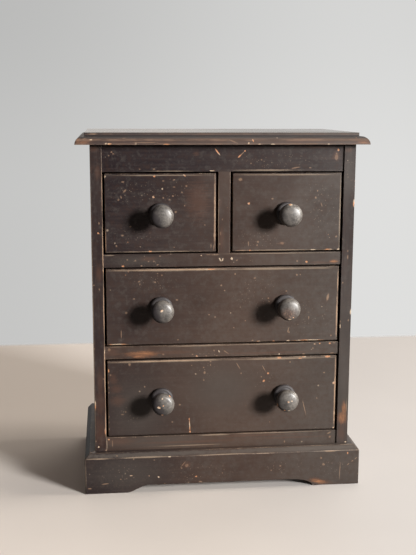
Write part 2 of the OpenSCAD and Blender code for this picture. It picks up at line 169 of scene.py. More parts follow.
class StageSettings(bpy.types.PropertyGroup):
    floor: bpy.props.FloatVectorProperty(
        name="Floor", description="Pale floor",
        subtype="COLOR", size=3, min=0, max=1, default=(0.67, 0.622, 0.58))
    backdrop: bpy.props.FloatVectorProperty(
        name="Backdrop", description="Pale colour behind the chest",
        subtype="COLOR", size=3, min=0, max=1, default=(0.72, 0.72, 0.71))
    key_watts: bpy.props.FloatProperty(
        name="Window light", description="Power of the low soft lamp at the front right",
        unit="POWER", min=0, max=1000, default=220)
    side_watts: bpy.props.FloatProperty(
        name="Side light", description="Power of the lamp at the right",
        unit="POWER", min=0, max=1000, default=98)
    back_watts: bpy.props.FloatProperty(
        name="Back light", description="Power of the lamp behind and above the chest",
        unit="POWER", min=0, max=1000, default=30)
    rear_watts: bpy.props.FloatProperty(
        name="Rear light", description="Power of the broad weak lamp behind the chest",
        unit="POWER", min=0, max=1000, default=10)
    top_watts: bpy.props.FloatProperty(
        name="Top light", description="Power of the small lamp overhead",
        unit="POWER", min=0, max=100, default=1.5)
    sky: bpy.props.FloatProperty(
        name="Sky", description="Strength of the even light from all sides",
        min=0, max=2, default=0.06)


# ---- Shader recipes ----

class Wire:
    """A shader socket. Python's operators on it add Math nodes."""

    def __init__(self, recipe, socket):
        self.recipe = recipe
        self.socket = socket

    def maths(self, operation, *others):
        return self.recipe.maths(operation, self, *others)

    def __add__(self, other):
        return self.maths("ADD", other)

    def __sub__(self, other):
        return self.maths("SUBTRACT", other)

    def __mul__(self, other):
        return self.maths("MULTIPLY", other)

    def __truediv__(self, other):
        return self.maths("DIVIDE", other)

    def __rsub__(self, other):
        return self.recipe.maths("SUBTRACT", other, self)

    __radd__ = __add__
    __rmul__ = __mul__

    def upper(self, other):
        return self.maths("MAXIMUM", other)

    def lower(self, other):
        return self.maths("MINIMUM", other)

    def step(self, start, end):
        """0 up to start, 1 from end on, and a smooth rise between; start may be above end."""
        if start > end:
            return 1 - self.step(end, start)
        return self.recipe.add(
            "ShaderNodeMapRange", {"interpolation_type": "SMOOTHSTEP"},
            {"Value": self, "From Min": start, "From Max": end})


class Recipe:
    """A material's or a world's node tree while it is being written."""

    def __init__(self, holder):
        holder.use_nodes = True
        self.holder = holder
        self.tree = holder.node_tree
        self.tree.nodes.clear()

    def add(self, kind, settings=None, inputs=None, take=0):
        """Adds a node: its settings, then its sockets' values or links. Gives one output."""
        node = self.tree.nodes.new(kind)
        for key, value in (settings or {}).items():
            setattr(node, key, value)
        for key, value in (inputs or {}).items():
            socket = node.inputs[key]
            if isinstance(value, Wire):
                self.tree.links.new(value.socket, socket)
            elif socket.type == "RGBA":
                socket.default_value = (*value[:3], 1)
            else:
                socket.default_value = value
        return Wire(self, node.outputs[take]) if node.outputs else None

    def maths(self, operation, *values):
        return self.add("ShaderNodeMath", {"operation": operation}, dict(enumerate(values)))

    def vector(self, operation, *values, take=0):
        return self.add(
            "ShaderNodeVectorMath", {"operation": operation}, dict(enumerate(values)), take)

    def mix(self, factor, first, second):
        """Mixes two colours: 0 is the first, 1 the second."""
        return self.add(
            "ShaderNodeMix", {"data_type": "RGBA", "clamp_factor": True},
            {0: factor, 6: first, 7: second}, 2)

    def place(self):
        """Object coordinates in millimetres."""
        point = self.vector("SCALE", self.add("ShaderNodeTexCoord", take="Object"))
        point.socket.node.inputs["Scale"].default_value = 1 / MM
        return point

    def noise(self, point, scale, detail=2.0, rough=0.5, take="Fac"):
        return self.add(
            "ShaderNodeTexNoise", None,
            {"Vector": point, "Scale": scale, "Detail": detail, "Roughness": rough}, take)

    def cells(self, point, scale):
        """Distance to the nearest of a field of scattered spots."""
        return self.add(
            "ShaderNodeTexVoronoi", {"feature": "F1"},
            {"Vector": point, "Scale": scale, "Randomness": 1.0}, "Distance")

    def part(self, vector, axis):
        return self.add("ShaderNodeSeparateXYZ", None, {0: vector}, axis)

    def attribute(self, name):
        return self.add("ShaderNodeAttribute", {"attribute_name": name}, None, "Fac")

    def bump(self, height, distance, strength=1.0):
        return self.add(
            "ShaderNodeBump", None,
            {"Height": height, "Distance": distance, "Strength": strength})

    def surface(self, **sockets):
        """Ends the recipe with one Principled surface."""
        shader = self.add(
            "ShaderNodeBsdfPrincipled", None,
            {key.replace("_", " "): value for key, value in sockets.items()})
        self.add("ShaderNodeOutputMaterial", None, {"Surface": shader})
        return self.holder


def scaled(colour, share):
    """A colour made lighter or darker."""
    return [min(1.0, c * share) for c in colour]


def stretched(recipe, point, grain, share, shift):
    """Millimetre coordinates that run slower along the grain, moved by a shift of their own."""
    scale = [1.0, 1.0, 1.0]
    scale[AXIS[grain]] = share
    return recipe.add(
        "ShaderNodeMapping", None,
        {"Vector": point, "Location": shift, "Scale": scale})


def edge_distance(recipe, point, low, high):
    """Distance in millimetres from a box's nearest edge, for a point on the box's skin."""
    middle = (low + high) / 2 / MM
    half = (high - low) / 2 / MM
    off = recipe.vector("ABSOLUTE", recipe.vector("SUBTRACT", point, middle))
    inward = recipe.vector("SUBTRACT", half, off)
    a, b, c = (recipe.part(inward, axis) for axis in range(3))
    return (a + b + c) - a.upper(b).upper(c) - a.lower(b).lower(c)


def blots(recipe, point, ragged, marks, front, softness=0.3):
    """One mask of ragged ovals near a front: middle x and z, half length, half width, turn."""
    nearest = None
    for x, z, along, across, turn in marks:
        local = recipe.add(
            "ShaderNodeMapping", {"vector_type": "TEXTURE"},
            {"Vector": point, "Location": (x + MIDDLE, front, z),
             "Rotation": (0, math.radians(-turn), 0),
             "Scale": (along, 3 * (along + across), across)})
        away = recipe.vector("LENGTH", local, take="Value")
        nearest = away if nearest is None else nearest.lower(away)
    return (nearest * 1.25 + ragged).step(1 + softness, 1 - softness)


def band(depth, start, full_from, full_to, end):
    """1 within a band of depths, fading out on both sides."""
    return depth.step(start, full_from) * depth.step(end, full_to)


def moulding_wear(recipe, depth, coat, patchy, look):
    """The bands along the top's edge: painted shade and dirt in the crevice under the fillet and in
    a line under the face, a crest lightened as a painted highlight and by rubbing, and a rubbed
    lip.
    """
    tan = recipe.mix(0.13, look.undercoat, look.filler)
    coat = recipe.mix(band(depth, *DULL_BAND) * 0.45, coat, scaled(look.undercoat, 0.45))
    # painted highlight: the crest's lighter band stands partly for the light on the round; the
    # lip's is rubbed paint
    proud = band(depth, *CREST_BAND).upper(depth.step(*LIP_DEPTHS))
    coat = recipe.mix(proud * patchy.step(-0.14, 0.1) * 0.7, coat, tan)
    coat = recipe.mix(band(depth, *FILLET_BAND) * patchy.step(-0.12, 0.12) * 0.35, coat, tan)
    # painted shade and dirt: darker in the crevice under the fillet and along a line just under the
    # face
    under_face, crevice_shade = (band(depth, *depths) for depths in SHADE_AND_DIRT_BANDS)
    return recipe.mix(under_face.upper(crevice_shade) * 0.85, coat, SHADE_AND_DIRT)


def paint_patterns(recipe, point, own, grain, shift):
    """The noises that a painted board's finish is made of; brush and fibre run with the grain."""
    return types.SimpleNamespace(
        own=own,
        brush=recipe.noise(stretched(recipe, point, grain, 0.04, shift), 0.45, 4, 0.6),
        fibre=recipe.noise(stretched(recipe, point, grain, 0.06, shift), 1.7, 3, 0.65),
        cloud=recipe.noise(own, 0.014, 3, 0.55),
        blotch=recipe.noise(stretched(recipe, point, grain, 0.4, shift), 0.06, 4, 0.6),
        crumb=recipe.noise(own, 0.75, 4, 0.65),
        mottle=recipe.noise(own, 0.17, 5, 0.7))


def lay_marks(recipe, point, coat, marks, front, layers):
    """Lays the marks over the coat, a layer for each kind: ragged, softness, depth and colour."""
    for kind, (ragged, softness, depth, colour) in layers.items():
        if kind in marks:
            mask = blots(recipe, point, ragged, marks[kind], front, softness)
            coat = recipe.mix(mask * depth, coat, colour)
    return coat


def sound_coat(recipe, point, noises, marks, front, look, tone):
    """The top coat: browner where the sun has paled it, lighter and browner towards the right as
    painted light, and greyer at the right-hand end as painted sheen.
    """
    across = recipe.part(point, 0)
    # painted light and painted sheen: the coat grows lighter and browner towards the right and
    # greyer at the right-hand end; the noise and the piece's tone vary this paleness at random
    painted_light_to_right = across.step(-150, 40) * 0.5 + across.step(20, 150) * 0.06 + 0.08
    bleached_and_painted_light = (painted_light_to_right + (noises.cloud - 0.5) * 0.55 + tone).step(0.0, 1.0)
    paler_coat_and_sheen = recipe.mix(across.step(10, 140) * 0.7, look.bleached_and_painted_light, look.greyed_and_painted_sheen)
    coat = recipe.mix(bleached_and_painted_light, look.colour, paler_coat_and_sheen)
    mottle = noises.mottle
    for pattern, depth, colour in (
            ((noises.brush - 0.5).step(-0.1, 0.22), 0.12, scaled(look.bleached_and_painted_light, 1.5)),
            ((mottle - 0.5).step(-0.01, 0.15), 0.3, scaled(look.greyed_and_painted_sheen, 1.35)),
            ((0.5 - mottle).step(-0.01, 0.15), 0.34, scaled(look.undercoat, 0.4))):
        coat = recipe.mix(pattern * depth, coat, colour)
    return lay_marks(recipe, point, coat, marks, front, {
        "dust": ((mottle - 0.5) * 3, 0.8, 0.5, scaled(look.greyed_and_painted_sheen, 1.15)),
        # painted sheen: the pale band along the plinth's chamfer
        "pale": ((mottle - 0.5) * 3, 0.4, 0.6, scaled(look.greyed_and_painted_sheen, 1.7)),
    })


def worn_through(recipe, point, noises, coat, marks, front, look):
    """The marks of use that show the undercoat, the wood or the old ground."""
    fibre, blotch, crumb = (n - 0.5 for n in (noises.fibre, noises.blotch, noises.crumb))
    ragged = crumb * 1.6
    dim = recipe.mix(0.6, look.bare, look.filler)
    grained = recipe.mix(fibre.step(-0.12, 0.12), look.undercoat, scaled(look.bare, 0.6))
    coat = lay_marks(recipe, point, coat, marks, front, {
        "fleck": (ragged, 0.4, 0.26, dim),
        "scratch": (ragged, 0.4, 0.3, dim),
        "rub": (fibre * 3.0 + ragged * 0.5, 0.7, 0.36, look.undercoat),
        "bald": (fibre * 3.4 + ragged * 0.6, 0.5, 0.85, grained),
        # along the edges that face the light, lines and worn ones are partly painted highlights on
        # the arris
        "line": (blotch * 1.8 + ragged * 0.5, 0.6, 0.3, look.filler),
        "worn": (blotch * 2.2 + ragged * 0.5, 0.6, 0.55, recipe.mix(0.65, look.bare, look.filler)),
    })
    if "spray" in marks:
        cloudy = blots(recipe, point, blotch * 1.4, marks["spray"], front, 0.7)
        dots = (recipe.cells(noises.own, 0.34) + crumb * 0.5).step(0.2, 0.08)
        coat = recipe.mix(cloudy * dots * 0.24, coat, look.filler)
    return coat


def paint_material(node, look, grain, low, high, seed):
    """Dark satin paint over pine, for a board whose box runs from low to high."""
    marks = MARKS.get(node, {})
    rubbing = RUBBING.get(node, SOUND)
    moulded = node == "top_board"
    draw = random.Random(seed)
    shift = tuple(draw.uniform(-400, 400) for _ in range(3))
    front = low[1] / MM
    recipe = Recipe(bpy.data.materials.new(node + "_paint"))
    point = recipe.place()
    own = recipe.vector("ADD", point, shift)
    noises = paint_patterns(recipe, point, own, grain, shift)
    brush, fibre, cloud = noises.brush, noises.fibre, noises.cloud
    blotch, crumb = noises.blotch, noises.crumb
    edge = edge_distance(recipe, point, low, high)
    arris = recipe.attribute("arris")
    coat = sound_coat(recipe, point, noises, marks, front, look, TONES.get(node, 0.0))

    # rubbed streaks along the grain, where the red-brown under the top coat shows
    near = edge.step(9.0, 0.5)
    rubbed = (blotch * 0.8 + fibre * 0.5 + near * 0.12 + rubbing * 0.34 - 0.98).step(0.0, 0.22)
    coat = recipe.mix(rubbed * 0.4, coat, look.undercoat)

    # chips and specks down to the wood or to the pale ground
    field = crumb * 0.62 + blotch * 0.45 + (fibre - 0.5) * 0.25
    chips = (field - edge.step(0.2, 2.6) * 0.5).step(0.665, 0.69)
    size = recipe.noise(own, 0.07, 1, 0.5)
    cluster = recipe.noise(own, 0.013, 2, 0.5)
    specks = (recipe.cells(own, 0.085) + (crumb - 0.5) * 0.09 - (size - 0.5) * 0.3
              - (cluster - 0.5) * 0.35).step(0.03, 0.005)
    bare_at = chips.upper(specks * 0.3)
    if "chip" in marks:
        ragged = (crumb - 0.5) * 1.6
        bare_at = bare_at.upper(blots(recipe, point, ragged, marks["chip"], front, 0.3) * 0.75)
    ground = recipe.mix((size - 0.5).step(-0.05, 0.05), look.bare, look.filler)
    coat = worn_through(recipe, point, noises, coat, marks, front, look)

    # the thin tan line where an edge has lost its paint
    rim = edge.step(1.3, 0.4).upper(arris.step(0.02, 0.2))
    line = rim * (field + arris * 0.3 + rubbing * 0.1 - 0.6).step(0.02, 0.25)
    coat = recipe.mix(line * 0.5, coat, recipe.mix(0.5, look.undercoat, look.filler))

    # the top's moulding, and its own smoother face, paler with dust and a painted reflection
    depth = TOP_Z - recipe.part(point, 2)
    upper = depth.step(*FACE_DEPTHS)
    if moulded:
        coat = moulding_wear(recipe, depth, coat, blotch * 0.7 + fibre * 0.5 - 0.6, look)
    # painted reflection and dust: the top's face is mixed halfway to a pale colour
    coat = recipe.mix(upper * 0.5, coat, DUST_AND_PAINTED_REFLECTION)
    roughness = (look.roughness + (brush - 0.5) * 0.14 + (cloud - 0.5) * 0.2
                 + bare_at * 0.3 + rubbed * 0.08 + line * 0.12 - upper * 0.2)
    if moulded:
        roughness = roughness + depth.step(*EDGE_DEPTHS) * (1 - upper) * 0.2
    relief = (brush * 0.22 + fibre * 0.14 + crumb * 0.06 - bare_at) * (1 - upper * 0.8)
    return recipe.surface(
        Base_Color=recipe.mix(bare_at, coat, ground), Roughness=roughness,
        Specular_IOR_Level=SHINE.get(node, 0.5), Normal=recipe.bump(relief, 0.09 * MM, 0.9))


def pine_material(node, look, grain, low, high, seed, tone, grime):
    """Planed, unpainted pine with year rings round a pith that lies beside the board."""
    draw = random.Random(seed)
    along = AXIS[grain]
    first, second = [axis for axis in range(3) if axis != along]
    middle = (low + high) / 2 / MM
    reach = (high - low) / MM
    wide, thick = (first, second) if reach[first] > reach[second] else (second, first)
    pith = list(middle)
    pith[wide] += draw.uniform(-0.3, 0.3) * reach[wide]
    pith[thick] -= draw.choice((-1, 1)) * draw.uniform(18, 46)
    tilt = [0.0, 0.0, 0.0]
    tilt[first if along != AXIS["X"] else second] = draw.uniform(-2.2, 2.2)

    recipe = Recipe(bpy.data.materials.new(node + "_pine"))
    point = recipe.place()
    shift = tuple(draw.uniform(-400, 400) for _ in range(3))
    wander = recipe.noise(stretched(recipe, point, grain, 0.12, shift), 0.02, 2, 0.5, take="Color")
    waved = recipe.vector("ADD", point, recipe.vector(
        "MULTIPLY", recipe.vector("SUBTRACT", wander, (0.5, 0.5, 0.5)), (26, 26, 26)))
    local = recipe.add(
        "ShaderNodeMapping", {"vector_type": "TEXTURE"},
        {"Vector": waved, "Location": pith, "Rotation": [math.radians(a) for a in tilt]})
    across = [1.0, 1.0, 1.0]
    across[along] = 0.0
    radius = recipe.vector("LENGTH", recipe.vector("MULTIPLY", local, across), take="Value")
    wobble = recipe.noise(stretched(recipe, point, grain, 0.05, shift), 0.09, 3, 0.6)
    phase = radius / (look.ring / MM) + wobble * 1.6
    ring = phase.maths("FRACT")
    late = ring.step(0.25, 0.92) * ring.step(1.0, 0.93)

    fibre = recipe.noise(stretched(recipe, point, grain, 0.03, shift), 2.6, 3, 0.7)
    cloud = recipe.noise(recipe.vector("ADD", point, shift), 0.012, 3, 0.5)
    edge = edge_distance(recipe, point, low, high)
    soil = (edge.step(9, 0) * 0.6 + recipe.noise(point, 0.05, 4, 0.6) - 0.35).step(0.1, 0.7)

    light, dark = scaled(look.light, tone), scaled(look.dark, tone)
    wood = recipe.mix(late * 0.75, light, dark)
    wood = recipe.mix((fibre - 0.5).step(-0.05, 0.25) * 0.4, wood, dark)
    wood = recipe.mix(cloud.step(0.35, 0.7) * 0.35, wood, scaled(dark, 0.8))
    wood = recipe.mix(soil * grime, wood, SOIL)
    relief = fibre * 0.5 + late * 0.35
    return recipe.surface(
        Base_Color=wood, Roughness=0.62 + (fibre - 0.5) * 0.2 - late * 0.08,
        Normal=recipe.bump(relief, 0.08 * MM, 0.8))


def knob_material(node, look, paint, low, high, seed):
    """Greyer, mottled paint on a turned knob, with a few chips."""
    marks = MARKS.get(node, {})
    draw = random.Random(seed)
    shift = tuple(draw.uniform(-400, 400) for _ in range(3))
    front = low[1] / MM
    recipe = Recipe(bpy.data.materials.new(node + "_paint"))
    point = recipe.place()
    own = recipe.vector("ADD", point, shift)
    local = recipe.vector("SUBTRACT", point, (low + high) / 2 / MM)
    radius = recipe.vector(
        "LENGTH", recipe.vector("MULTIPLY", local, (1, 0, 1)), take="Value")

    cloud = recipe.noise(own, 0.11, 4, 0.6)
    mottle = recipe.noise(own, 0.5, 5, 0.7)
    crumb = recipe.noise(own, 1.1, 4, 0.7)
    turned = recipe.noise(
        recipe.add("ShaderNodeCombineXYZ", None, {"X": radius * 2.2, "Y": cloud * 2}), 1.0, 2, 0.6)
    coat = recipe.mix(
        (cloud - 0.5).step(-0.14, 0.16), scaled(look.colour, 0.65), scaled(look.colour, 1.3))
    coat = recipe.mix((mottle - 0.5).step(-0.02, 0.16) * 0.5, coat, scaled(look.colour, 1.9))
    coat = recipe.mix((0.5 - mottle).step(0.02, 0.16) * 0.5, coat, paint.colour)

    # painted shade: darker on the side away from the light, more on the left-hand knobs, and round
    # the collar in the head's shadow
    across = recipe.part(local, 0) + recipe.part(local, 2) * 0.4 + (cloud - 0.5) * 9
    collar = recipe.part(local, 1).step(-12, -3)
    painted_shade = (across.step(5, -9) * (0.95 if low[0] < 0 else 0.45)).upper(collar * 0.92)
    coat = recipe.mix(painted_shade, coat, paint.colour)

    chips = (crumb * 0.6 + cloud * 0.5).step(0.75, 0.78)
    ragged = (crumb - 0.5) * 1.5
    if "rub" in marks:
        rub = blots(recipe, point, (mottle - 0.5) * 2.6 + ragged, marks["rub"], front, 0.6)
        warm = recipe.mix(mottle.step(0.5, 0.66), paint.undercoat, paint.bare)
        coat = recipe.mix(rub * 0.4, coat, warm)
    if "chip" in marks:
        chips = chips.upper(blots(recipe, point, ragged, marks["chip"], front, 0.2))
    ground = recipe.mix((cloud - 0.5).step(-0.06, 0.06), paint.bare, paint.filler)
    colour = recipe.mix(chips, coat, ground)
    relief = mottle * 0.5 + turned * 0.35 - chips * 1.2
    return recipe.surface(
        Base_Color=colour, Specular_IOR_Level=0.9,
        Roughness=look.roughness + (mottle - 0.5) * 0.25 + chips * 0.3 + painted_shade * 0.25,
        Normal=recipe.bump(relief, 0.10 * MM, 0.9))


# ---- Meshes ----

def merged_copy(node, flatten=True):
    """A CAD node's mesh with its corners merged and, on boards, its flat faces made whole."""
    bm = bmesh.new()
    bm.from_mesh(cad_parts[node].data)
    bmesh.ops.remove_doubles(bm, verts=bm.verts, dist=MERGE)
    if flatten:
        bmesh.ops.dissolve_limit(bm, angle_limit=FLAT_ANGLE, verts=bm.verts, edges=bm.edges)
    return bm


def box_edges(bm, low, high):
    """The edges that lie on two faces of the board's own box."""
    def lies_on(edge, axis, plane):
        return all(abs(v.co[axis] - plane) < TOUCH for v in edge.verts)
    return [
        edge for edge in bm.edges
        if sum(lies_on(edge, axis, side[axis]) for axis in range(3) for side in (low, high)) > 1
    ]


def sharp_edges(bm):
    """The sharp edges that stand proud."""
    return [
        edge for edge in bm.edges
        if edge.is_manifold and edge.calc_face_angle_signed(0) > SHARP_ANGLE
    ]


def divide(bm, edges, spacing):
    """Cuts long edges into short lengths, so that their wear can vary. Gives all the lengths."""
    by_count = {}
    for edge in edges:
        cuts = int(edge.calc_length() / spacing)
        by_count.setdefault(cuts, []).append(edge)
    lengths = []
    for cuts, group in sorted(by_count.items()):
        if cuts < 1:
            lengths.extend(group)
            continue
        made = bmesh.ops.bisect_edges(bm, edges=group, cuts=cuts)["geom_split"]
        lengths.extend(group)
        lengths.extend(e for e in made if isinstance(e, bmesh.types.BMEdge))
    return list(dict.fromkeys(lengths))


def soften(bm, edges, width, depth, seed, dents=()):
    """Rounds edges and wears them unevenly, and marks the rounding for the paint."""
    layer = bm.loops.layers.float.new("arris")
    if depth > 0:
        edges = divide(bm, edges, WEAR_STEP)
    rounded = bmesh.ops.bevel(
        bm, geom=edges, offset=width, offset_type="OFFSET", affect="EDGES", segments=3,
        profile=0.5, material=-1, clamp_overlap=True)["faces"]
    strip = set(rounded)
    shift = Vector([random.Random(seed).uniform(-50, 50) for _ in range(3)])
    moves = {}
    for vert in {v for face in rounded for v in face.verts}:
        inward = Vector()
        border = [face for face in vert.link_faces if face not in strip]
        for face in vert.link_faces:
            if face in strip:
                inward -= face.normal
        inward.normalize()
        for face in border:
            inward -= inward.dot(face.normal) * face.normal
        coarse = noise.noise(vert.co / (22 * MM) + shift)
        fine = noise.noise(vert.co / (4.5 * MM) + shift)
        amount = max(0.0, 0.25 + 0.75 * coarse + 0.5 * fine)
        for x, y, z, size, deep in dents:
            gap = (vert.co - Vector((x, y, z)) * MM).length / (size * MM)
            amount += deep * math.exp(-gap * gap)
        moves[vert] = (inward * depth * amount * (1.0 if border else 0.6), amount)
    for vert, (move, _) in moves.items():
        vert.co += move
    for face in rounded:
        for loop in face.loops:
            loop[layer] = 0.15 + 0.6 * moves[loop.vert][1] if loop.vert in moves else 0.15


def finish_piece(node, bm, material, body):
    """Makes a bmesh a smooth-shaded piece that rides on a body and stands for its CAD node."""
    for face in bm.faces:
        face.smooth = True
        face.material_index = 0
    for edge in bm.edges:
        edge.smooth = not edge.is_manifold or edge.calc_face_angle(0) < SMOOTH_ANGLE
    mesh = bpy.data.meshes.new(node + "_finish")
    bm.to_mesh(mesh)
    bm.free()
    mesh.materials.append(material)
    piece = bpy.data.objects.new(node + "_finish", mesh)
    bpy.context.scene.collection.objects.link(piece)
    normals = piece.modifiers.new("Flat faces lead", "WEIGHTED_NORMAL")
    normals.keep_sharp = True
    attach(piece, body)
    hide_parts(node)


def painted_board(node, grain, look, seed, body=CARCASE, shaped=False):
    """A painted board: the node's own shape with worn, rounded edges."""
    low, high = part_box(node)
    bm = merged_copy(node)
    edges = sharp_edges(bm) if shaped else box_edges(bm, low, high)
    soften(bm, edges, look.arris, look.wear, seed, DENTS.get(node, ()))
    material = paint_material(node, look, grain, low, high, seed)
    finish_piece(node, bm, material, body)


def pine_board(node, grain, look, seed, body=CARCASE, tone=1.0, grime=0.25):
    """An unpainted board: the node's own shape with planed edges."""
    low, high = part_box(node)
    bm = merged_copy(node)
    soften(bm, box_edges(bm, low, high), look.arris, 0.0, seed)
    material = pine_material(node, look, grain, low, high, seed, tone, grime)
    finish_piece(node, bm, material, body)


# ---- Pieces ----

class CHEST_OT_case(bpy.types.Operator):
    """Finish the painted side panels, the rails and the upright between the upper drawers"""
    bl_idname = "chest.case"
    bl_label = "Case"

    def execute(self, context):
        look = context.scene.chest_paint
        for i, node in enumerate(PAINTED_UPRIGHTS):
            painted_board(node, "Z", look, 11 + i)
        for i, node in enumerate(PAINTED_RAILS):
            painted_board(node, "X", look, 21 + i)
        return {"FINISHED"}


class CHEST_OT_top(bpy.types.Operator):
    """Finish the moulded top board"""
    bl_idname = "chest.top"
    bl_label = "Top"

    def execute(self, context):
        painted_board("top_board", "X", context.scene.chest_paint, 31, shaped=True)
        return {"FINISHED"}


class CHEST_OT_plinth(bpy.types.Operator):
    """Finish the mitred plinth boards"""
    bl_idname = "chest.plinth"
    bl_label = "Plinth"

    def execute(self, context):
        look = context.scene.chest_paint
        for i, (node, grain) in enumerate(zip(PLINTH, "XYY")):
            painted_board(node, grain, look, 41 + i, shaped=True)
        return {"FINISHED"}


class CHEST_OT_drawer_fronts(bpy.types.Operator):
    """Finish the painted drawer fronts"""
    bl_idname = "chest.drawer_fronts"
    bl_label = "Drawer Fronts"

    def execute(self, context):
        for i, drawer in enumerate(DRAWERS):
            painted_board(
                drawer + "_drawer_front", "X", context.scene.chest_paint, 51 + i,
                drawer + "_drawer")
        return {"FINISHED"}


class CHEST_OT_drawer_boxes(bpy.types.Operator):
    """Finish the dovetailed sides, the backs and the bottoms of the drawers"""
    bl_idname = "chest.drawer_boxes"
    bl_label = "Drawer Boxes"

    def execute(self, context):
        look = context.scene.chest_pine
        for i, drawer in enumerate(DRAWERS):
            stem = drawer + "_drawer_"
            for j, (part, grain) in enumerate((
                    ("side_left", "Y"), ("side_right", "Y"), ("back", "X"), ("bottom", "X"))):
                pine_board(stem + part, grain, look, 61 + 4 * i + j, drawer + "_drawer")
        return {"FINISHED"}


class CHEST_OT_knobs(bpy.types.Operator):
    """Finish the turned knobs"""
    bl_idname = "chest.knobs"
    bl_label = "Knobs"

    def execute(self, context):
        seed = 81
        for drawer in DRAWERS:
            for node in KNOBS[drawer]:
                low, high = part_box(node)
                bm = merged_copy(node, flatten=False)
                material = knob_material(
                    node, context.scene.chest_knobs, context.scene.chest_paint, low, high, seed)
                finish_piece(node, bm, material, drawer + "_drawer")
                seed += 1
        return {"FINISHED"}


class CHEST_OT_inner_boards(bpy.types.Operator):
    """Finish the unpainted boards inside and behind the case"""
    bl_idname = "chest.inner_boards"
    bl_label = "Inner Boards"

    def execute(self, context):
        look = context.scene.chest_pine
        seed = 101
        for nodes, grain in ((INNER_ALONG_X, "X"), (INNER_ALONG_Y, "Y"), (INNER_ALONG_Z, "Z")):
            for node in nodes:
                pine_board(node, grain, look, seed, tone=0.9, grime=0.45)
                seed += 1
        return {"FINISHED"}


class CHEST_OT_stage(bpy.types.Operator):
    """Set up the floor, the lamps, the even light and the camera"""
    bl_idname = "chest.stage"
    bl_label = "Stage"

    def execute(self, context):
        look = context.scene.chest_stage
        make_floor(look)
        make_lamps(look)
        make_world(look)
        make_camera()
        context.scene.view_settings.view_transform = "Standard"
        return {"FINISHED"}


# ---- Studio ----

# Half the floor's width in metres, and where it fades out round the chest and straight behind
# it, in millimetres from the chest's middle
FLOOR_HALF = 1.6
FLOOR_ROUND_EDGE = (1500, 1300)
FLOOR_BACK_EDGE = (632, 612)

PLAIN_LIGHT = (1.0, 0.98, 0.96)
WARM_LIGHT = (1.0, 0.92, 0.82)
GLOW_LIGHT = (1.0, 0.80, 0.67)
SKY_LIGHT = (1.0, 0.76, 0.62)

CAMERA_EYE = Vector((-0.1299, -1.1180, 0.4424))  # in metres
CAMERA_TURNS = (0.108, 0.180, 0.003)  # yaw, pitch and roll in radians
CAMERA_LENS = 60.48  # in millimetres, on a sensor 36 mm wide
CAMERA_SENSOR = 36


def make_floor(look):
    """A pale floor that sends less light back to the chest than the camera sees."""
    bm = bmesh.new()
    bmesh.ops.create_grid(bm, x_segments=1, y_segments=1, size=FLOOR_HALF)
    mesh = bpy.data.meshes.new("floor")
    bm.to_mesh(mesh)
    bm.free()
    floor = bpy.data.objects.new("floor", mesh)
    bpy.context.scene.collection.objects.link(floor)
    recipe = Recipe(bpy.data.materials.new("floor_finish"))
    point = recipe.place()
    cloud = recipe.noise(point, 0.004, 4, 0.6)
    grit = recipe.noise(point, 0.2, 3, 0.6)
    colour = recipe.mix(
        (cloud - 0.5).step(-0.2, 0.2) * 0.5, scaled(look.floor, 0.95), scaled(look.floor, 1.03))

    # painted light and shade: lighter towards the left, cooler and darker towards the right
    across = recipe.part(point, 0)
    colour = recipe.mix(across.step(300, -350) * 0.4, colour, scaled(look.floor, 1.28))
    painted_shade_floor = [c * share for c, share in zip(look.floor, (0.75, 0.83, 0.93))]
    colour = recipe.mix(across.step(-60, 220) * 0.46, colour, painted_shade_floor)

    seen = recipe.add("ShaderNodeLightPath", take="Is Camera Ray")
    colour = recipe.mix(seen, scaled(look.floor, 0.2), colour)
    radius = recipe.vector("LENGTH", point, take="Value")
    ends = radius.step(*FLOOR_ROUND_EDGE) * recipe.part(point, 1).step(*FLOOR_BACK_EDGE)
    mesh.materials.append(recipe.surface(
        Base_Color=colour, Roughness=0.6 + (grit - 0.5) * 0.1, Alpha=ends,
        Specular_IOR_Level=0.2, Normal=recipe.bump(grit, 0.2 * MM, 0.3)))


def make_lamps(look):
    """A low window light at the front right, warm ones at the right and behind, and two fills."""
    target = Vector((0, 0, 0.2))
    # turn goes from the front round to the right, height up from the level, both in degrees
    for name, watts, turn, height, distance, width, tall, colour in (
            ("window_light", look.key_watts, 44, 15.5, 3.5, 0.75, 0.8, PLAIN_LIGHT),
            ("side_light", look.side_watts, 88, 28, 4.0, 1.0, 1.2, WARM_LIGHT),
            ("back_light", look.back_watts, 140, 66, 3.5, 1.5, 1.5, WARM_LIGHT),
            ("rear_light", look.rear_watts, 192, 28, 3.5, 2.2, 1.8, GLOW_LIGHT),
            ("top_light", look.top_watts, 62, 80, 1.6, 0.3, 0.3, PLAIN_LIGHT)):
        lamp = bpy.data.lights.new(name, "AREA")
        lamp.shape = "RECTANGLE"
        lamp.size = width
        lamp.size_y = tall
        lamp.energy = watts
        lamp.color = colour
        turn, height = math.radians(turn), math.radians(height)
        towards = Vector((
            math.sin(turn) * math.cos(height), -math.cos(turn) * math.cos(height),
            math.sin(height)))
        holder = bpy.data.objects.new(name, lamp)
        holder.matrix_world = (
            Matrix.Translation(target + distance * towards)
            @ towards.to_track_quat("Z", "Y").to_matrix().to_4x4())
        bpy.context.scene.collection.objects.link(holder)


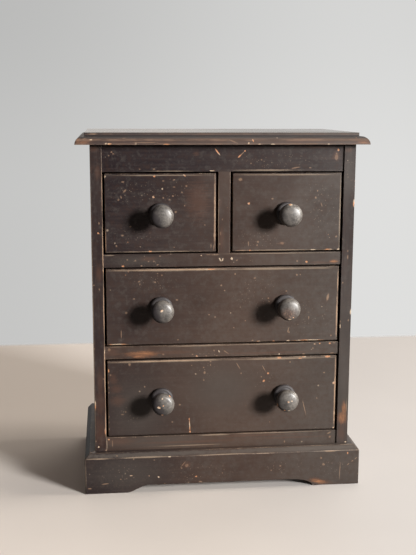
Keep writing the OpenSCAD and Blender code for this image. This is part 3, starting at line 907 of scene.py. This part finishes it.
def make_world(look):
    """Weak even light, a pale backdrop painted lighter towards the right, and its mirror image from
    behind and the right.
    """
    world = bpy.data.worlds.new("studio")
    bpy.context.scene.world = world
    recipe = Recipe(world)
    towards = recipe.add("ShaderNodeTexCoord", take="Generated")
    right, behind, up = (recipe.part(towards, axis) for axis in range(3))
    light = recipe.add(
        "ShaderNodeBackground", None, {"Color": SKY_LIGHT, "Strength": look.sky})
    bright = behind.step(-0.2, 0.35) * (0.3 + right.step(-0.8, -0.1) * 0.56)
    mirrored = recipe.add(
        "ShaderNodeBackground", None, {"Color": look.backdrop, "Strength": 0.06 + bright})
    # painted light on the backdrop: lighter towards the right and a little darker upward
    backdrop = recipe.add(
        "ShaderNodeBackground", None,
        {"Color": look.backdrop,
         "Strength": 0.77 + right.step(-0.15, 0.3) * 0.25 - up.step(-0.1, 0.12) * 0.09})
    gloss = recipe.add("ShaderNodeLightPath", take="Is Glossy Ray")
    camera = recipe.add("ShaderNodeLightPath", take="Is Camera Ray")
    both = recipe.add("ShaderNodeMixShader", None, {0: gloss, 1: light, 2: mirrored})
    seen = recipe.add("ShaderNodeMixShader", None, {0: camera, 1: both, 2: backdrop})
    recipe.add("ShaderNodeOutputWorld", None, {"Surface": seen})


def make_camera():
    """The camera stands left of the middle at about the chest's height, and looks down a little."""
    yaw, pitch, roll = CAMERA_TURNS
    forward = Vector((
        math.sin(yaw) * math.cos(pitch), math.cos(yaw) * math.cos(pitch), -math.sin(pitch)))
    level = Vector((math.cos(yaw), -math.sin(yaw), 0))
    above = level.cross(forward)
    right = level * math.cos(roll) + above * math.sin(roll)
    up = above * math.cos(roll) - level * math.sin(roll)
    lens = bpy.data.cameras.new("camera")
    lens.sensor_width = CAMERA_SENSOR
    lens.lens = CAMERA_LENS
    lens.clip_start = 0.01
    camera = bpy.data.objects.new("camera", lens)
    camera.matrix_world = (
        Matrix.Translation(CAMERA_EYE) @ Matrix((right, up, -forward)).transposed().to_4x4())
    bpy.context.scene.collection.objects.link(camera)
    bpy.context.scene.camera = camera


# ---- Wear, in millimetres in the chest's frame ----

# How far the top coat is rubbed through, from 0 to 1; SOUND where it isn't named
SOUND = 0.22
RUBBING = {
    "top_board": 0.95, "side_left": 0.5, "side_right": 0.35, "drawer_divider": 0.5,
    "upper_rail": 0.5, "lower_rail": 0.45, "bottom_rail": 0.65, "frieze_rail": 0.2,
    "upper_left_drawer_front": 0.15, "plinth_front": 0.3,
}

# How much paler and browner the coat of a piece is than that of the others; the left plinth board's
# is darker as painted shade, for it faces away from the light
TONES = {
    "upper_right_drawer_front": 0.06, "frieze_rail": -0.28, "plinth_left": -0.6,
    "side_left": 0.16, "side_right": -0.14, "middle_drawer_front": 0.21,
    "lower_drawer_front": 0.23, "upper_rail": 0.17, "lower_rail": 0.5, "bottom_rail": 0.48,
    "plinth_front": 0.11, "top_board": 0.1, "drawer_divider": 0.11,
}

# How strongly the paint shines where it isn't the usual 0.5: the left end of the plinth shines
# less, to go with its painted shade
SHINE = {"plinth_left": 0.12}

# On the chest: painted shade and dirt in the moulding's corners, dust and a painted reflection on
# the top's face, and the soil of hands and age on bare pine
SHADE_AND_DIRT = (0.010, 0.006, 0.006)
DUST_AND_PAINTED_REFLECTION = (0.20, 0.165, 0.125)
SOIL = (0.10, 0.065, 0.04)

# Bands along the moulding, by depth under the top's face: where each one starts, is full from
# and to, and ends. The dull one is laid first, the crest is lightened as a painted highlight and
# rubbed, the fillet is rubbed, and the last two bands, under the face and in the crevice under the
# fillet, are painted shade and dirt.
DULL_BAND = (2.3, 3.1, 12.1, 12.9)
CREST_BAND = (6.1, 7.1, 8.3, 9.5)
FILLET_BAND = (0.5, 1.1, 2.1, 2.7)
SHADE_AND_DIRT_BANDS = ((0.05, 0.2, 0.6, 1.0), (2.3, 3.1, 5.1, 6.7))

# Two depths each, for 0 and for full: the rubbed lip, the top's face and its moulded edge
LIP_DEPTHS = (10.9, 12.3)
FACE_DEPTHS = (0.3, 0.05)
EDGE_DEPTHS = (13.5, 12.5)

# Marks on the front of a piece: x from the case's middle and height above the floor, half
# length, half width, turn in degrees. A chip is bright bare wood, a fleck a dim one, a scratch
# thin and dim, a line pale, a worn one thin bare wood along an edge; along the right-hand and
# upper edges, which face the light, lines and worn ones are partly painted highlights. A rub is
# a red-brown patch, a bald one shows orange grain; dust is a faint grey patch, a pale one is a
# stronger grey band, painted sheen along the plinth's chamfer; spray is a cloud of tiny specks.
MARKS = {
    "top_board": {
        "chip": [
            (-132, 404, 1.4, 0.9, 0), (-128, 403.4, 2.6, 1.2, 0), (-66, 403, 4.0, 0.7, 0),
            (25, 404, 1.1, 1.2, 0), (30, 407, 0.8, 1.8, 20), (37, 403, 1.6, 0.7, 0),
            (52, 403, 2.6, 0.6, 0), (115, 403, 1.4, 0.7, 0), (147, 410, 0.9, 0.8, 0),
            (-148, 408, 1.6, 0.8, 0),
        ],
        "fleck": [
            (-100, 410, 1.2, 0.8, 0), (-112, 410, 2.6, 1.4, 0), (-124, 412, 3.0, 0.6, 0),
            (-155, 409, 3.0, 0.9, 20), (62, 411, 1.0, 0.8, 0),
        ],
        "scratch": [(8, 406, 6.0, 0.9, -22), (-90, 405, 16.0, 0.7, 0)],
        "worn": [(-146, 413.8, 6.0, 0.7, 0), (-144, 410.6, 3.0, 0.5, 0)],
        "bald": [(-156, 405, 8.0, 2.6, 15), (-162, 407, 3.0, 4.0, 0), (155, 405, 8.0, 2.0, 0)],
    },
    "frieze_rail": {
        "chip": [
            (-8, 394, 5.2, 0.9, -52), (17, 389, 3.0, 0.9, 45), (23, 395, 1.1, 1.0, 0),
            (130, 396, 1.2, 1.6, 0), (-14, 373, 3.4, 0.6, 0),
        ],
        "fleck": [
            (20, 392, 4.5, 0.7, 45), (128, 392, 1.1, 0.9, 0), (-126, 394, 1.4, 1.0, 50),
            (-124, 392, 1.4, 0.8, -20), (-129, 390, 0.9, 0.8, 0), (-79, 375, 1.6, 0.9, 0),
            (-75, 373, 1.6, 0.7, 0), (-95, 375, 1.2, 0.7, 0), (81, 376, 6.0, 0.8, 10),
            (42, 385, 0.9, 0.8, 0), (30, 381, 0.9, 0.8, 0), (98, 376, 1.6, 0.8, 0),
            (128, 388, 2.4, 4.0, 0),
        ],
        "line": [(48, 373.4, 40.0, 0.9, 0), (-60, 372.8, 30.0, 0.5, 0)],
        "rub": [(105, 399, 19.0, 1.4, 0), (-32, 392, 4.0, 2.2, 0), (128, 390, 5.0, 6.0, 0)],
        "spray": [(60, 384, 50.0, 9.0, 0)],
    },
    "upper_left_drawer_front": {
        "chip": [
            (-79, 367, 1.5, 1.3, 0), (-45, 368, 2.2, 0.9, -40), (-70, 353, 1.1, 1.2, 0),
            (-80, 344, 1.4, 1.5, 0), (-84, 282.6, 2.2, 0.9, 0), (-134, 367, 1.6, 1.6, 0),
        ],
        "fleck": [
            (-43, 356, 1.4, 1.2, 0), (-69, 362, 1.4, 1.0, 0), (-57, 363, 1.8, 0.9, 15),
            (-57, 355, 1.6, 0.8, 0), (-69, 343, 1.1, 1.2, 0), (-58, 345, 1.3, 1.1, 0),
            (-62, 341, 1.3, 1.0, 20), (-112, 351, 2.6, 1.2, 48), (-116, 344, 1.0, 1.8, 20),
            (-119, 341, 1.2, 1.2, 0), (-114, 361, 2.0, 1.1, 0), (-106, 311, 1.3, 1.1, 0),
            (-115, 301, 1.8, 1.1, 0), (-55, 327, 1.5, 1.5, 40), (-45, 334, 0.8, 1.0, 0),
            (-122, 289, 1.2, 1.2, 0), (-57, 287, 0.9, 0.8, 0), (-22, 312, 0.8, 0.8, 0),
            (-15, 288, 0.6, 3.0, 0), (-12, 286, 0.5, 4.0, 0), (-48, 349, 0.9, 1.2, 0),
        ],
        "line": [(-72, 368.2, 60.0, 0.8, 0), (-72, 282.3, 60.0, 0.6, 0)],
        "worn": [(-10.8, 330, 38.0, 1.2, 90), (-134.6, 296, 13.0, 1.5, 90)],
        "rub": [(-30, 340, 14.0, 24.0, 0)],
        "spray": [(-58, 354, 22.0, 17.0, 0), (-95, 350, 34.0, 14.0, 0), (-100, 300, 26.0, 14.0, 0)],
    },
    "upper_right_drawer_front": {
        "chip": [
            (28, 336, 1.4, 1.4, 0), (121, 282.2, 5.0, 0.9, 0), (133, 282.2, 2.2, 0.9, 0),
            (30, 282.2, 1.6, 0.7, 0), (103, 282.2, 4.0, 0.6, 0),
        ],
        "fleck": [
            (18, 363, 2.6, 2.0, 10), (130, 297, 1.4, 1.4, 0), (39, 292, 1.4, 1.2, 0),
            (28, 290, 0.7, 3.0, 5), (38, 288, 1.0, 1.2, 0), (107, 350, 1.0, 1.2, 0),
            (105, 342, 1.2, 1.6, 20), (67, 290, 2.4, 1.6, 0), (55, 341, 1.4, 1.0, 0),
            (20, 282.4, 8.0, 0.7, 0), (112, 334, 0.7, 3.0, 20),
        ],
        "line": [
            (72, 368.2, 60.0, 0.7, 0), (133.6, 326, 43.0, 0.8, 90), (60, 282.2, 48.0, 0.8, 0),
        ],
        "rub": [(66, 290, 4.0, 2.0, 0)],
        "spray": [(110, 330, 24.0, 34.0, 0), (40, 296, 28.0, 12.0, 0)],
    },
    "upper_rail": {
        "dust": [(-96, 272, 40.0, 7.0, 0)],
        "chip": [
            (-4.5, 272, 0.9, 2.6, 25), (-1.5, 272, 0.9, 2.4, -25), (9, 273, 1.4, 1.8, 20),
            (-115, 266, 1.7, 1.2, 0), (96, 268, 1.8, 1.2, -30), (-26, 277, 1.1, 0.7, 0),
        ],
        "fleck": [
            (-110, 273, 1.0, 1.0, 0), (-101, 272, 1.0, 1.0, 0), (-86, 271, 1.2, 0.9, 0),
            (-80, 271, 1.0, 1.0, 0), (-76, 267, 1.4, 0.8, 20), (-94, 266, 1.3, 1.0, 0),
            (-73, 277, 1.2, 0.8, 0), (-10, 277.6, 5.0, 0.6, 0), (85, 269, 1.2, 1.4, 0),
            (15, 271, 1.4, 0.9, 40), (-18, 277.8, 3.0, 0.5, 0),
        ],
        "line": [(-130, 278.4, 6.0, 0.6, 0), (60, 278.4, 60.0, 0.5, 0)],
        "rub": [(-86, 274, 10.0, 3.0, 0), (112, 267, 10.0, 1.8, 0)],
        "bald": [(128, 268, 6.0, 2.2, 0)],
        "spray": [(-85, 270, 26.0, 5.0, 0), (20, 272, 16.0, 5.0, 0)],
    },
    "side_left": {
        "line": [(-136.6, 392, 9.0, 0.8, 90), (-149.4, 200, 190.0, 0.3, 90)],
        # the light line down the stile's inner edge, which faces the light, is partly a painted
        # highlight
        "worn": [
            (-136.8, 355, 34.0, 1.0, 90), (-136.9, 285, 38.0, 1.1, 90),
            (-137, 215, 36.0, 1.0, 90), (-137.2, 140, 44.0, 0.9, 90), (-137.3, 80, 16.0, 0.8, 90),
        ],
        "chip": [
            (-142, 304, 1.4, 1.0, -35), (-149, 104, 0.9, 6.5, 0), (-137, 262, 0.7, 3.0, 0),
            (-137, 167, 0.7, 2.6, 0), (-138, 72, 0.7, 5.0, 0), (-146, 53, 1.2, 1.2, 0),
        ],
        "fleck": [
            (-141, 315, 0.8, 1.8, 0), (-148, 245, 1.0, 1.0, 0), (-149, 171, 0.8, 0.8, 0),
            (-139, 135, 1.6, 0.8, 0), (-142, 240, 0.8, 1.4, 0), (-149, 60, 0.8, 1.2, 0),
        ],
        "rub": [
            (-146, 398, 5.0, 4.0, 0), (-142, 258, 3.5, 11.0, 0), (-144, 72, 7.0, 22.0, 0),
            (-143, 106, 6.0, 20.0, 0),
            (-143, 130, 4.0, 18.0, 0), (-142, 372, 3.0, 8.0, 0),
        ],
    },
    "side_right": {
        "dust": [(143, 130, 12.0, 90.0, 0), (143, 370, 6.0, 26.0, 0)],
        "chip": [
            (149.6, 336, 1.4, 5.0, 0), (149.6, 208, 1.2, 3.4, 0), (137.4, 191, 0.8, 2.8, 0),
            (148, 48.6, 1.4, 0.7, 0),
        ],
        "fleck": [
            (144, 273, 0.9, 3.0, 0), (139, 243, 0.7, 1.2, 0), (147, 198, 0.9, 1.4, 0),
            (137.5, 197, 0.6, 1.4, 0), (137, 294, 0.7, 1.2, 0), (144, 280, 0.7, 1.6, 0),
        ],
        "line": [(148, 94, 10.0, 0.5, 90)],
        "bald": [(143, 79, 6.0, 9.0, 0), (145, 90, 3.0, 10.0, 0)],
        "rub": [(142, 396, 4.0, 3.0, 0), (143, 60, 5.0, 10.0, 0)],
        "spray": [(143, 370, 6.0, 30.0, 0)],
    },
    "drawer_divider": {
        "fleck": [(-5, 290, 1.0, 1.2, 0), (-2, 318, 0.7, 1.2, 0), (-4, 302, 0.8, 2.5, 0)],
        "rub": [(-3, 296, 3.0, 14.0, 0)],
        "line": [(-6.4, 325, 44.0, 0.4, 90)],
    },
    "middle_drawer_front": {
        "chip": [
            (-16, 261, 7.0, 0.8, 0), (-122, 175.2, 12.0, 0.9, 0), (100, 174.9, 20.0, 0.9, 0),
            (41, 175, 2.2, 0.7, 0), (59, 174.8, 1.6, 0.6, 0), (76, 175, 2.4, 0.8, 0),
        ],
        "fleck": [
            (-97, 248, 1.6, 1.0, 20), (-96, 245, 1.0, 0.8, 0), (-71, 255, 1.2, 0.9, 0),
            (-76, 257, 1.0, 0.8, 0), (-79, 247, 1.2, 1.2, 0), (-103, 228, 1.4, 0.9, 0),
            (-112, 212, 1.4, 1.6, 0), (-54, 226, 1.6, 1.0, 0), (-3, 242, 1.2, 1.2, 0),
            (-10, 205, 1.0, 1.0, 0), (1, 236, 1.0, 0.9, 0), (-17, 208, 1.0, 0.8, 0),
            (-53, 179, 1.2, 0.9, 0), (13, 255, 1.2, 1.2, 0), (36, 250, 1.8, 0.9, 10),
            (85, 253, 1.2, 1.4, 0), (89, 253, 0.8, 1.0, 0), (52, 226, 1.2, 1.0, 0),
            (53, 222, 0.8, 0.8, 0), (73, 234, 1.2, 0.8, 0), (100, 202, 0.7, 2.4, 0),
            (12, 192, 0.9, 1.0, 0), (77, 185, 1.2, 1.4, 0), (127, 180, 1.0, 1.4, -20),
            (34, 176, 1.4, 1.0, 0),
        ],
        "scratch": [(-118, 187, 6.0, 0.5, 90), (122, 226, 5.0, 1.6, 80), (76, 188, 4.0, 0.6, 75)],
        "line": [(-64, 260.8, 70.0, 1.4, 0), (60, 260.6, 66.0, 1.3, 0)],
        "worn": [
            (133.2, 205, 26.0, 0.9, 90), (133.4, 245, 14.0, 0.6, 90), (-60, 261.2, 60.0, 0.5, 0),
        ],
        "spray": [(-80, 248, 30.0, 12.0, 0), (40, 236, 30.0, 20.0, 0), (100, 200, 30.0, 22.0, 0)],
    },
    "lower_rail": {
        "chip": [
            (-31, 159, 1.5, 0.9, -35), (-5, 164, 0.9, 1.8, 25), (108, 170, 1.5, 0.8, 0),
            (114, 170.6, 1.4, 0.8, 0), (126, 170.4, 1.6, 0.9, 0), (66, 159, 1.1, 0.9, 0),
        ],
        "fleck": [
            (-20, 159, 1.2, 0.9, 0), (-11, 165, 0.9, 1.4, 20), (-8, 158.6, 0.9, 0.8, 0),
            (-36, 161, 1.0, 0.8, 0), (-70, 162, 1.4, 1.2, 0), (106, 165, 0.9, 1.4, 0),
            (131, 171, 2.0, 0.8, 0), (95, 158.4, 2.0, 0.7, 0), (129, 158.6, 3.0, 0.7, 0),
            (-132, 169, 2.0, 2.0, 0),
        ],
        "scratch": [(3, 163, 4.6, 0.6, -35)],
        "line": [(-30, 171.2, 40.0, 0.8, 0), (50, 171.4, 40.0, 0.6, 0)],
        "bald": [(-94, 163, 20.0, 4.2, 0), (-98, 160, 9.0, 2.4, 0)],
        "rub": [(-60, 164, 26.0, 2.4, 0), (-128, 166, 8.0, 5.0, 0), (60, 161, 60.0, 1.2, 0)],
        "spray": [(-20, 161, 20.0, 4.0, 0)],
    },
    "lower_drawer_front": {
        "dust": [(-100, 96, 34.0, 40.0, 0), (0, 120, 40.0, 30.0, 0)],
        "chip": [
            (66, 154.4, 3.2, 1.1, 0), (91, 153.4, 2.6, 0.8, 0), (96, 154.8, 2.6, 0.7, 0),
            (124, 154.4, 3.8, 1.2, 0), (53, 136, 1.3, 1.3, 0), (48, 127, 1.6, 1.4, 30),
            (132, 122, 1.6, 1.6, 0), (133, 66.6, 1.0, 1.2, 0), (-133, 144, 0.9, 2.4, 0),
            (-39.4, 75, 9.4, 0.7, -87), (-39, 67.5, 1.3, 1.4, 0), (-40, 83, 0.8, 1.6, 0),
        ],
        "fleck": [
            (-109, 151, 1.6, 2.0, 0), (-131, 139, 1.2, 1.2, 0), (-133, 124, 0.8, 1.2, 0),
            (-133, 118, 0.8, 1.0, 0), (-133.4, 89, 0.8, 1.4, 0), (-133.6, 82, 0.8, 1.2, 0),
            (-133.6, 74, 0.8, 1.6, 0), (-133.4, 130, 0.6, 2.0, 0), (-23, 145, 1.0, 1.1, 0),
            (-23, 130, 1.2, 1.0, 0), (-22, 139, 1.4, 2.2, 0), (-15, 148, 0.8, 1.4, 0),
            (-37, 148, 0.8, 0.8, 0), (-51, 101, 1.4, 1.2, 0), (-60, 80, 1.2, 1.1, 0),
            (-114, 94, 1.0, 1.4, 0), (-118, 91, 2.0, 0.8, 0), (79, 149, 1.2, 1.0, 0),
            (21, 137, 1.0, 1.0, 0), (112, 104, 1.0, 1.0, 0), (120, 135, 1.2, 1.0, 0),
            (45, 132, 0.9, 0.9, 0), (-15, 152, 1.2, 1.0, 0),
        ],
        "scratch": [
            (17.5, 146, 5.0, 0.5, -60), (48, 142, 5.0, 0.5, -60), (97, 93, 10.0, 0.6, -76),
        ],
        "line": [(-66, 153.9, 70.0, 1.5, 0), (66, 153.6, 70.0, 1.2, 0)],
        "worn": [(133.5, 110, 42.0, 1.0, 90), (-70, 154.2, 56.0, 0.5, 0)],
        "rub": [(-125, 122, 7.0, 5.0, 0), (-123, 108, 9.0, 6.0, 0), (-128, 134, 5.0, 6.0, 0)],
        "spray": [(-20, 142, 14.0, 12.0, 0), (46, 130, 16.0, 12.0, 0), (-112, 90, 14.0, 12.0, 0)],
    },
    "bottom_rail": {
        "dust": [(-90, 57, 60.0, 8.0, 0)],
        "chip": [(-134, 61, 1.2, 1.0, 0)],
        "fleck": [
            (-119, 62.6, 1.2, 0.6, 0), (-103, 62.8, 1.0, 0.6, 0), (-130, 56, 0.6, 5.0, 0),
            (74, 51, 1.0, 1.6, 0), (128, 60, 3.0, 1.0, 30), (129, 55, 1.4, 1.6, 20),
        ],
        "line": [
            (-136.4, 57, 8.0, 0.7, 90), (-8, 62.4, 18.0, 0.8, 0), (-40, 50.6, 40.0, 0.6, 0),
            (60, 62.6, 50.0, 0.4, 0),
        ],
        "rub": [
            (-120, 58, 18.0, 4.5, 0), (-40, 55, 70.0, 1.6, 0), (80, 56, 50.0, 1.2, 0),
            (40, 60, 60.0, 1.0, 0),
        ],
    },
    "plinth_front": {
        "dust": [(-118, 24, 50.0, 24.0, 0)],
        # painted sheen along the chamfer
        "pale": [(-80, 45.3, 110.0, 2.3, 0), (80, 45.3, 110.0, 2.3, 0)],
        "chip": [
            (-109, 21, 2.2, 0.7, 0), (-77, 18, 1.2, 1.2, 0), (-64, 42.4, 1.8, 0.7, 0),
            (148, 39, 0.8, 1.8, 0), (-33, 17, 1.5, 1.0, 10),
        ],
        "fleck": [
            (-121, 17, 1.2, 0.9, 0), (-139, 12, 4.6, 0.8, 5), (-28, 10.4, 2.0, 0.9, 0),
            (-42, 10, 1.0, 0.9, 0), (-44, 31, 2.6, 2.4, 0), (-70, 9.6, 1.3, 0.8, 0),
            (-88, 20, 1.0, 1.0, 0), (-157, 7, 2.6, 1.0, 0), (-125, 45, 1.2, 0.8, 0),
            (-106, 41, 1.1, 1.1, 0), (-82, 39, 1.1, 0.8, 0), (56, 21, 1.0, 1.0, 0),
            (67, 26, 1.4, 1.0, 0), (116, 34, 1.4, 1.4, 0), (119, 26, 1.8, 1.8, 0),
            (127, 42, 7.0, 0.9, 0), (-50, 28, 1.0, 1.0, 0), (-2, 20, 0.9, 0.8, 0),
        ],
        "scratch": [
            (149, 25, 2.2, 0.6, 40), (154, 29, 2.0, 0.6, 40), (158, 32, 2.2, 0.6, 40),
            (139, 17, 12.0, 0.5, 88), (-48, 33, 5.0, 0.5, 50),
        ],
        "line": [
            (-146, 42.8, 16.0, 0.8, 0), (-90, 42.8, 34.0, 0.8, 0), (0, 42.9, 46.0, 0.5, 0),
            (130, 42.6, 16.0, 0.5, 0), (-161.4, 24, 17.0, 0.6, 90),
        ],
        "bald": [(113, 5, 11.0, 3.2, -12)],
        "rub": [(120, 4, 14.0, 3.6, -12), (-44, 32, 6.0, 4.0, 0)],
        "spray": [
            (-120, 24, 30.0, 16.0, 0), (70, 26, 30.0, 12.0, 0), (130, 24, 26.0, 16.0, 0),
            (-30, 22, 40.0, 14.0, 0),
        ],
    },
    "upper_right_knob": {"chip": [(71, 337, 2.8, 1.2, 0)]},
    "middle_knob_left": {"chip": [(-73, 220, 2.2, 1.3, 40)]},
    "middle_knob_right": {
        "rub": [(70, 213, 10.0, 8.0, 0)],
        "chip": [(72, 207, 2.4, 0.8, -10), (76, 209, 1.2, 0.8, 0), (61, 228, 0.9, 1.4, 0)],
    },
    "lower_knob_left": {
        "chip": [
            (-77, 108, 2.2, 1.5, -20), (-73, 98.4, 1.6, 1.0, 0), (-72, 110, 0.9, 1.0, 0),
            (-73, 118, 1.1, 1.0, 0), (-64, 120, 1.4, 1.8, 40),
        ],
    },
    "lower_knob_right": {
        "chip": [
            (72, 110, 1.4, 1.1, -30), (76, 111, 1.1, 0.8, 0), (68, 99.6, 1.5, 0.8, 0),
            (73, 99, 1.6, 0.6, 0), (60, 105, 0.8, 3.4, 10),
        ],
    },
}

# Dents in a piece's edges: middle, size and depth as a share of the edge wear
DENTS = {
    "top_board": [
        (-126, -89.3, 402.5, 5, 1.4), (-57, -89.3, 402.5, 8, 1.0), (-162, -88, 403, 6, 1.6),
        (46, -89.3, 402.5, 7, 1.0), (102, -89.3, 402.5, 3, 1.2), (-145, -78.8, 415.5, 6, 1.2),
        (-110, -78.8, 413, 4, 1.2),
    ],
    "side_right": [
        (151.5, -76.3, 336, 6, 1.8), (151.5, -76.3, 208, 5, 1.6), (151.5, -76.3, 180, 3, 1.2),
    ],
    "side_left": [(-148.5, -76.3, 104, 6, 1.2), (-135.5, -76.3, 304, 3, 1.0)],
    "middle_drawer_front": [
        (98, -74.9, 174.3, 12, 1.4), (-121, -74.9, 174.3, 9, 1.4), (48, -74.9, 174.3, 6, 1.2),
    ],
    "lower_drawer_front": [
        (66, -74.9, 155.7, 4, 1.6), (92, -74.9, 155.7, 6, 1.4), (124, -74.9, 155.7, 6, 1.4),
        (136, -74.9, 126, 3, 1.2), (-133, -74.9, 144, 4, 1.2), (-133, -74.9, 97, 4, 1.2),
    ],
    "upper_right_drawer_front": [(122, -74.9, 281.3, 9, 1.4), (46, -74.9, 281.3, 8, 1.2)],
    "lower_rail": [(129, -74.5, 157.5, 5, 1.2)],
}


# ---- Panel and registration ----

GROUPS = (
    ("chest_paint", PaintSettings), ("chest_pine", PineSettings),
    ("chest_knobs", KnobSettings), ("chest_stage", StageSettings),
)
OPERATORS = (
    CHEST_OT_stage, CHEST_OT_case, CHEST_OT_top, CHEST_OT_plinth, CHEST_OT_drawer_fronts,
    CHEST_OT_drawer_boxes, CHEST_OT_knobs, CHEST_OT_inner_boards,
)


class CHEST_PT_sidebar(bpy.types.Panel):
    """Steps and settings of the painted chest"""
    bl_idname = "CHEST_PT_sidebar"
    bl_label = "Painted Pine Chest"
    bl_space_type = "VIEW_3D"
    bl_region_type = "UI"
    bl_category = "Chest"

    def draw(self, context):
        for name, group in GROUPS:
            box = self.layout.box()
            for prop in group.__annotations__:
                box.prop(getattr(context.scene, name), prop)
        for operator in OPERATORS:
            self.layout.operator(operator.bl_idname)


CLASSES = (*(group for _, group in GROUPS), *OPERATORS, CHEST_PT_sidebar)


def register():
    for cls in CLASSES:
        bpy.utils.register_class(cls)
    for name, group in GROUPS:
        setattr(bpy.types.Scene, name, bpy.props.PointerProperty(type=group))


def unregister():
    for name, _ in GROUPS:
        delattr(bpy.types.Scene, name)
    for cls in reversed(CLASSES):
        bpy.utils.unregister_class(cls)


def main():
    register()
    for operator in OPERATORS:
        group, name = operator.bl_idname.split(".")
        getattr(getattr(bpy.ops, group), name)()


if __name__ == "__main__":
    main()
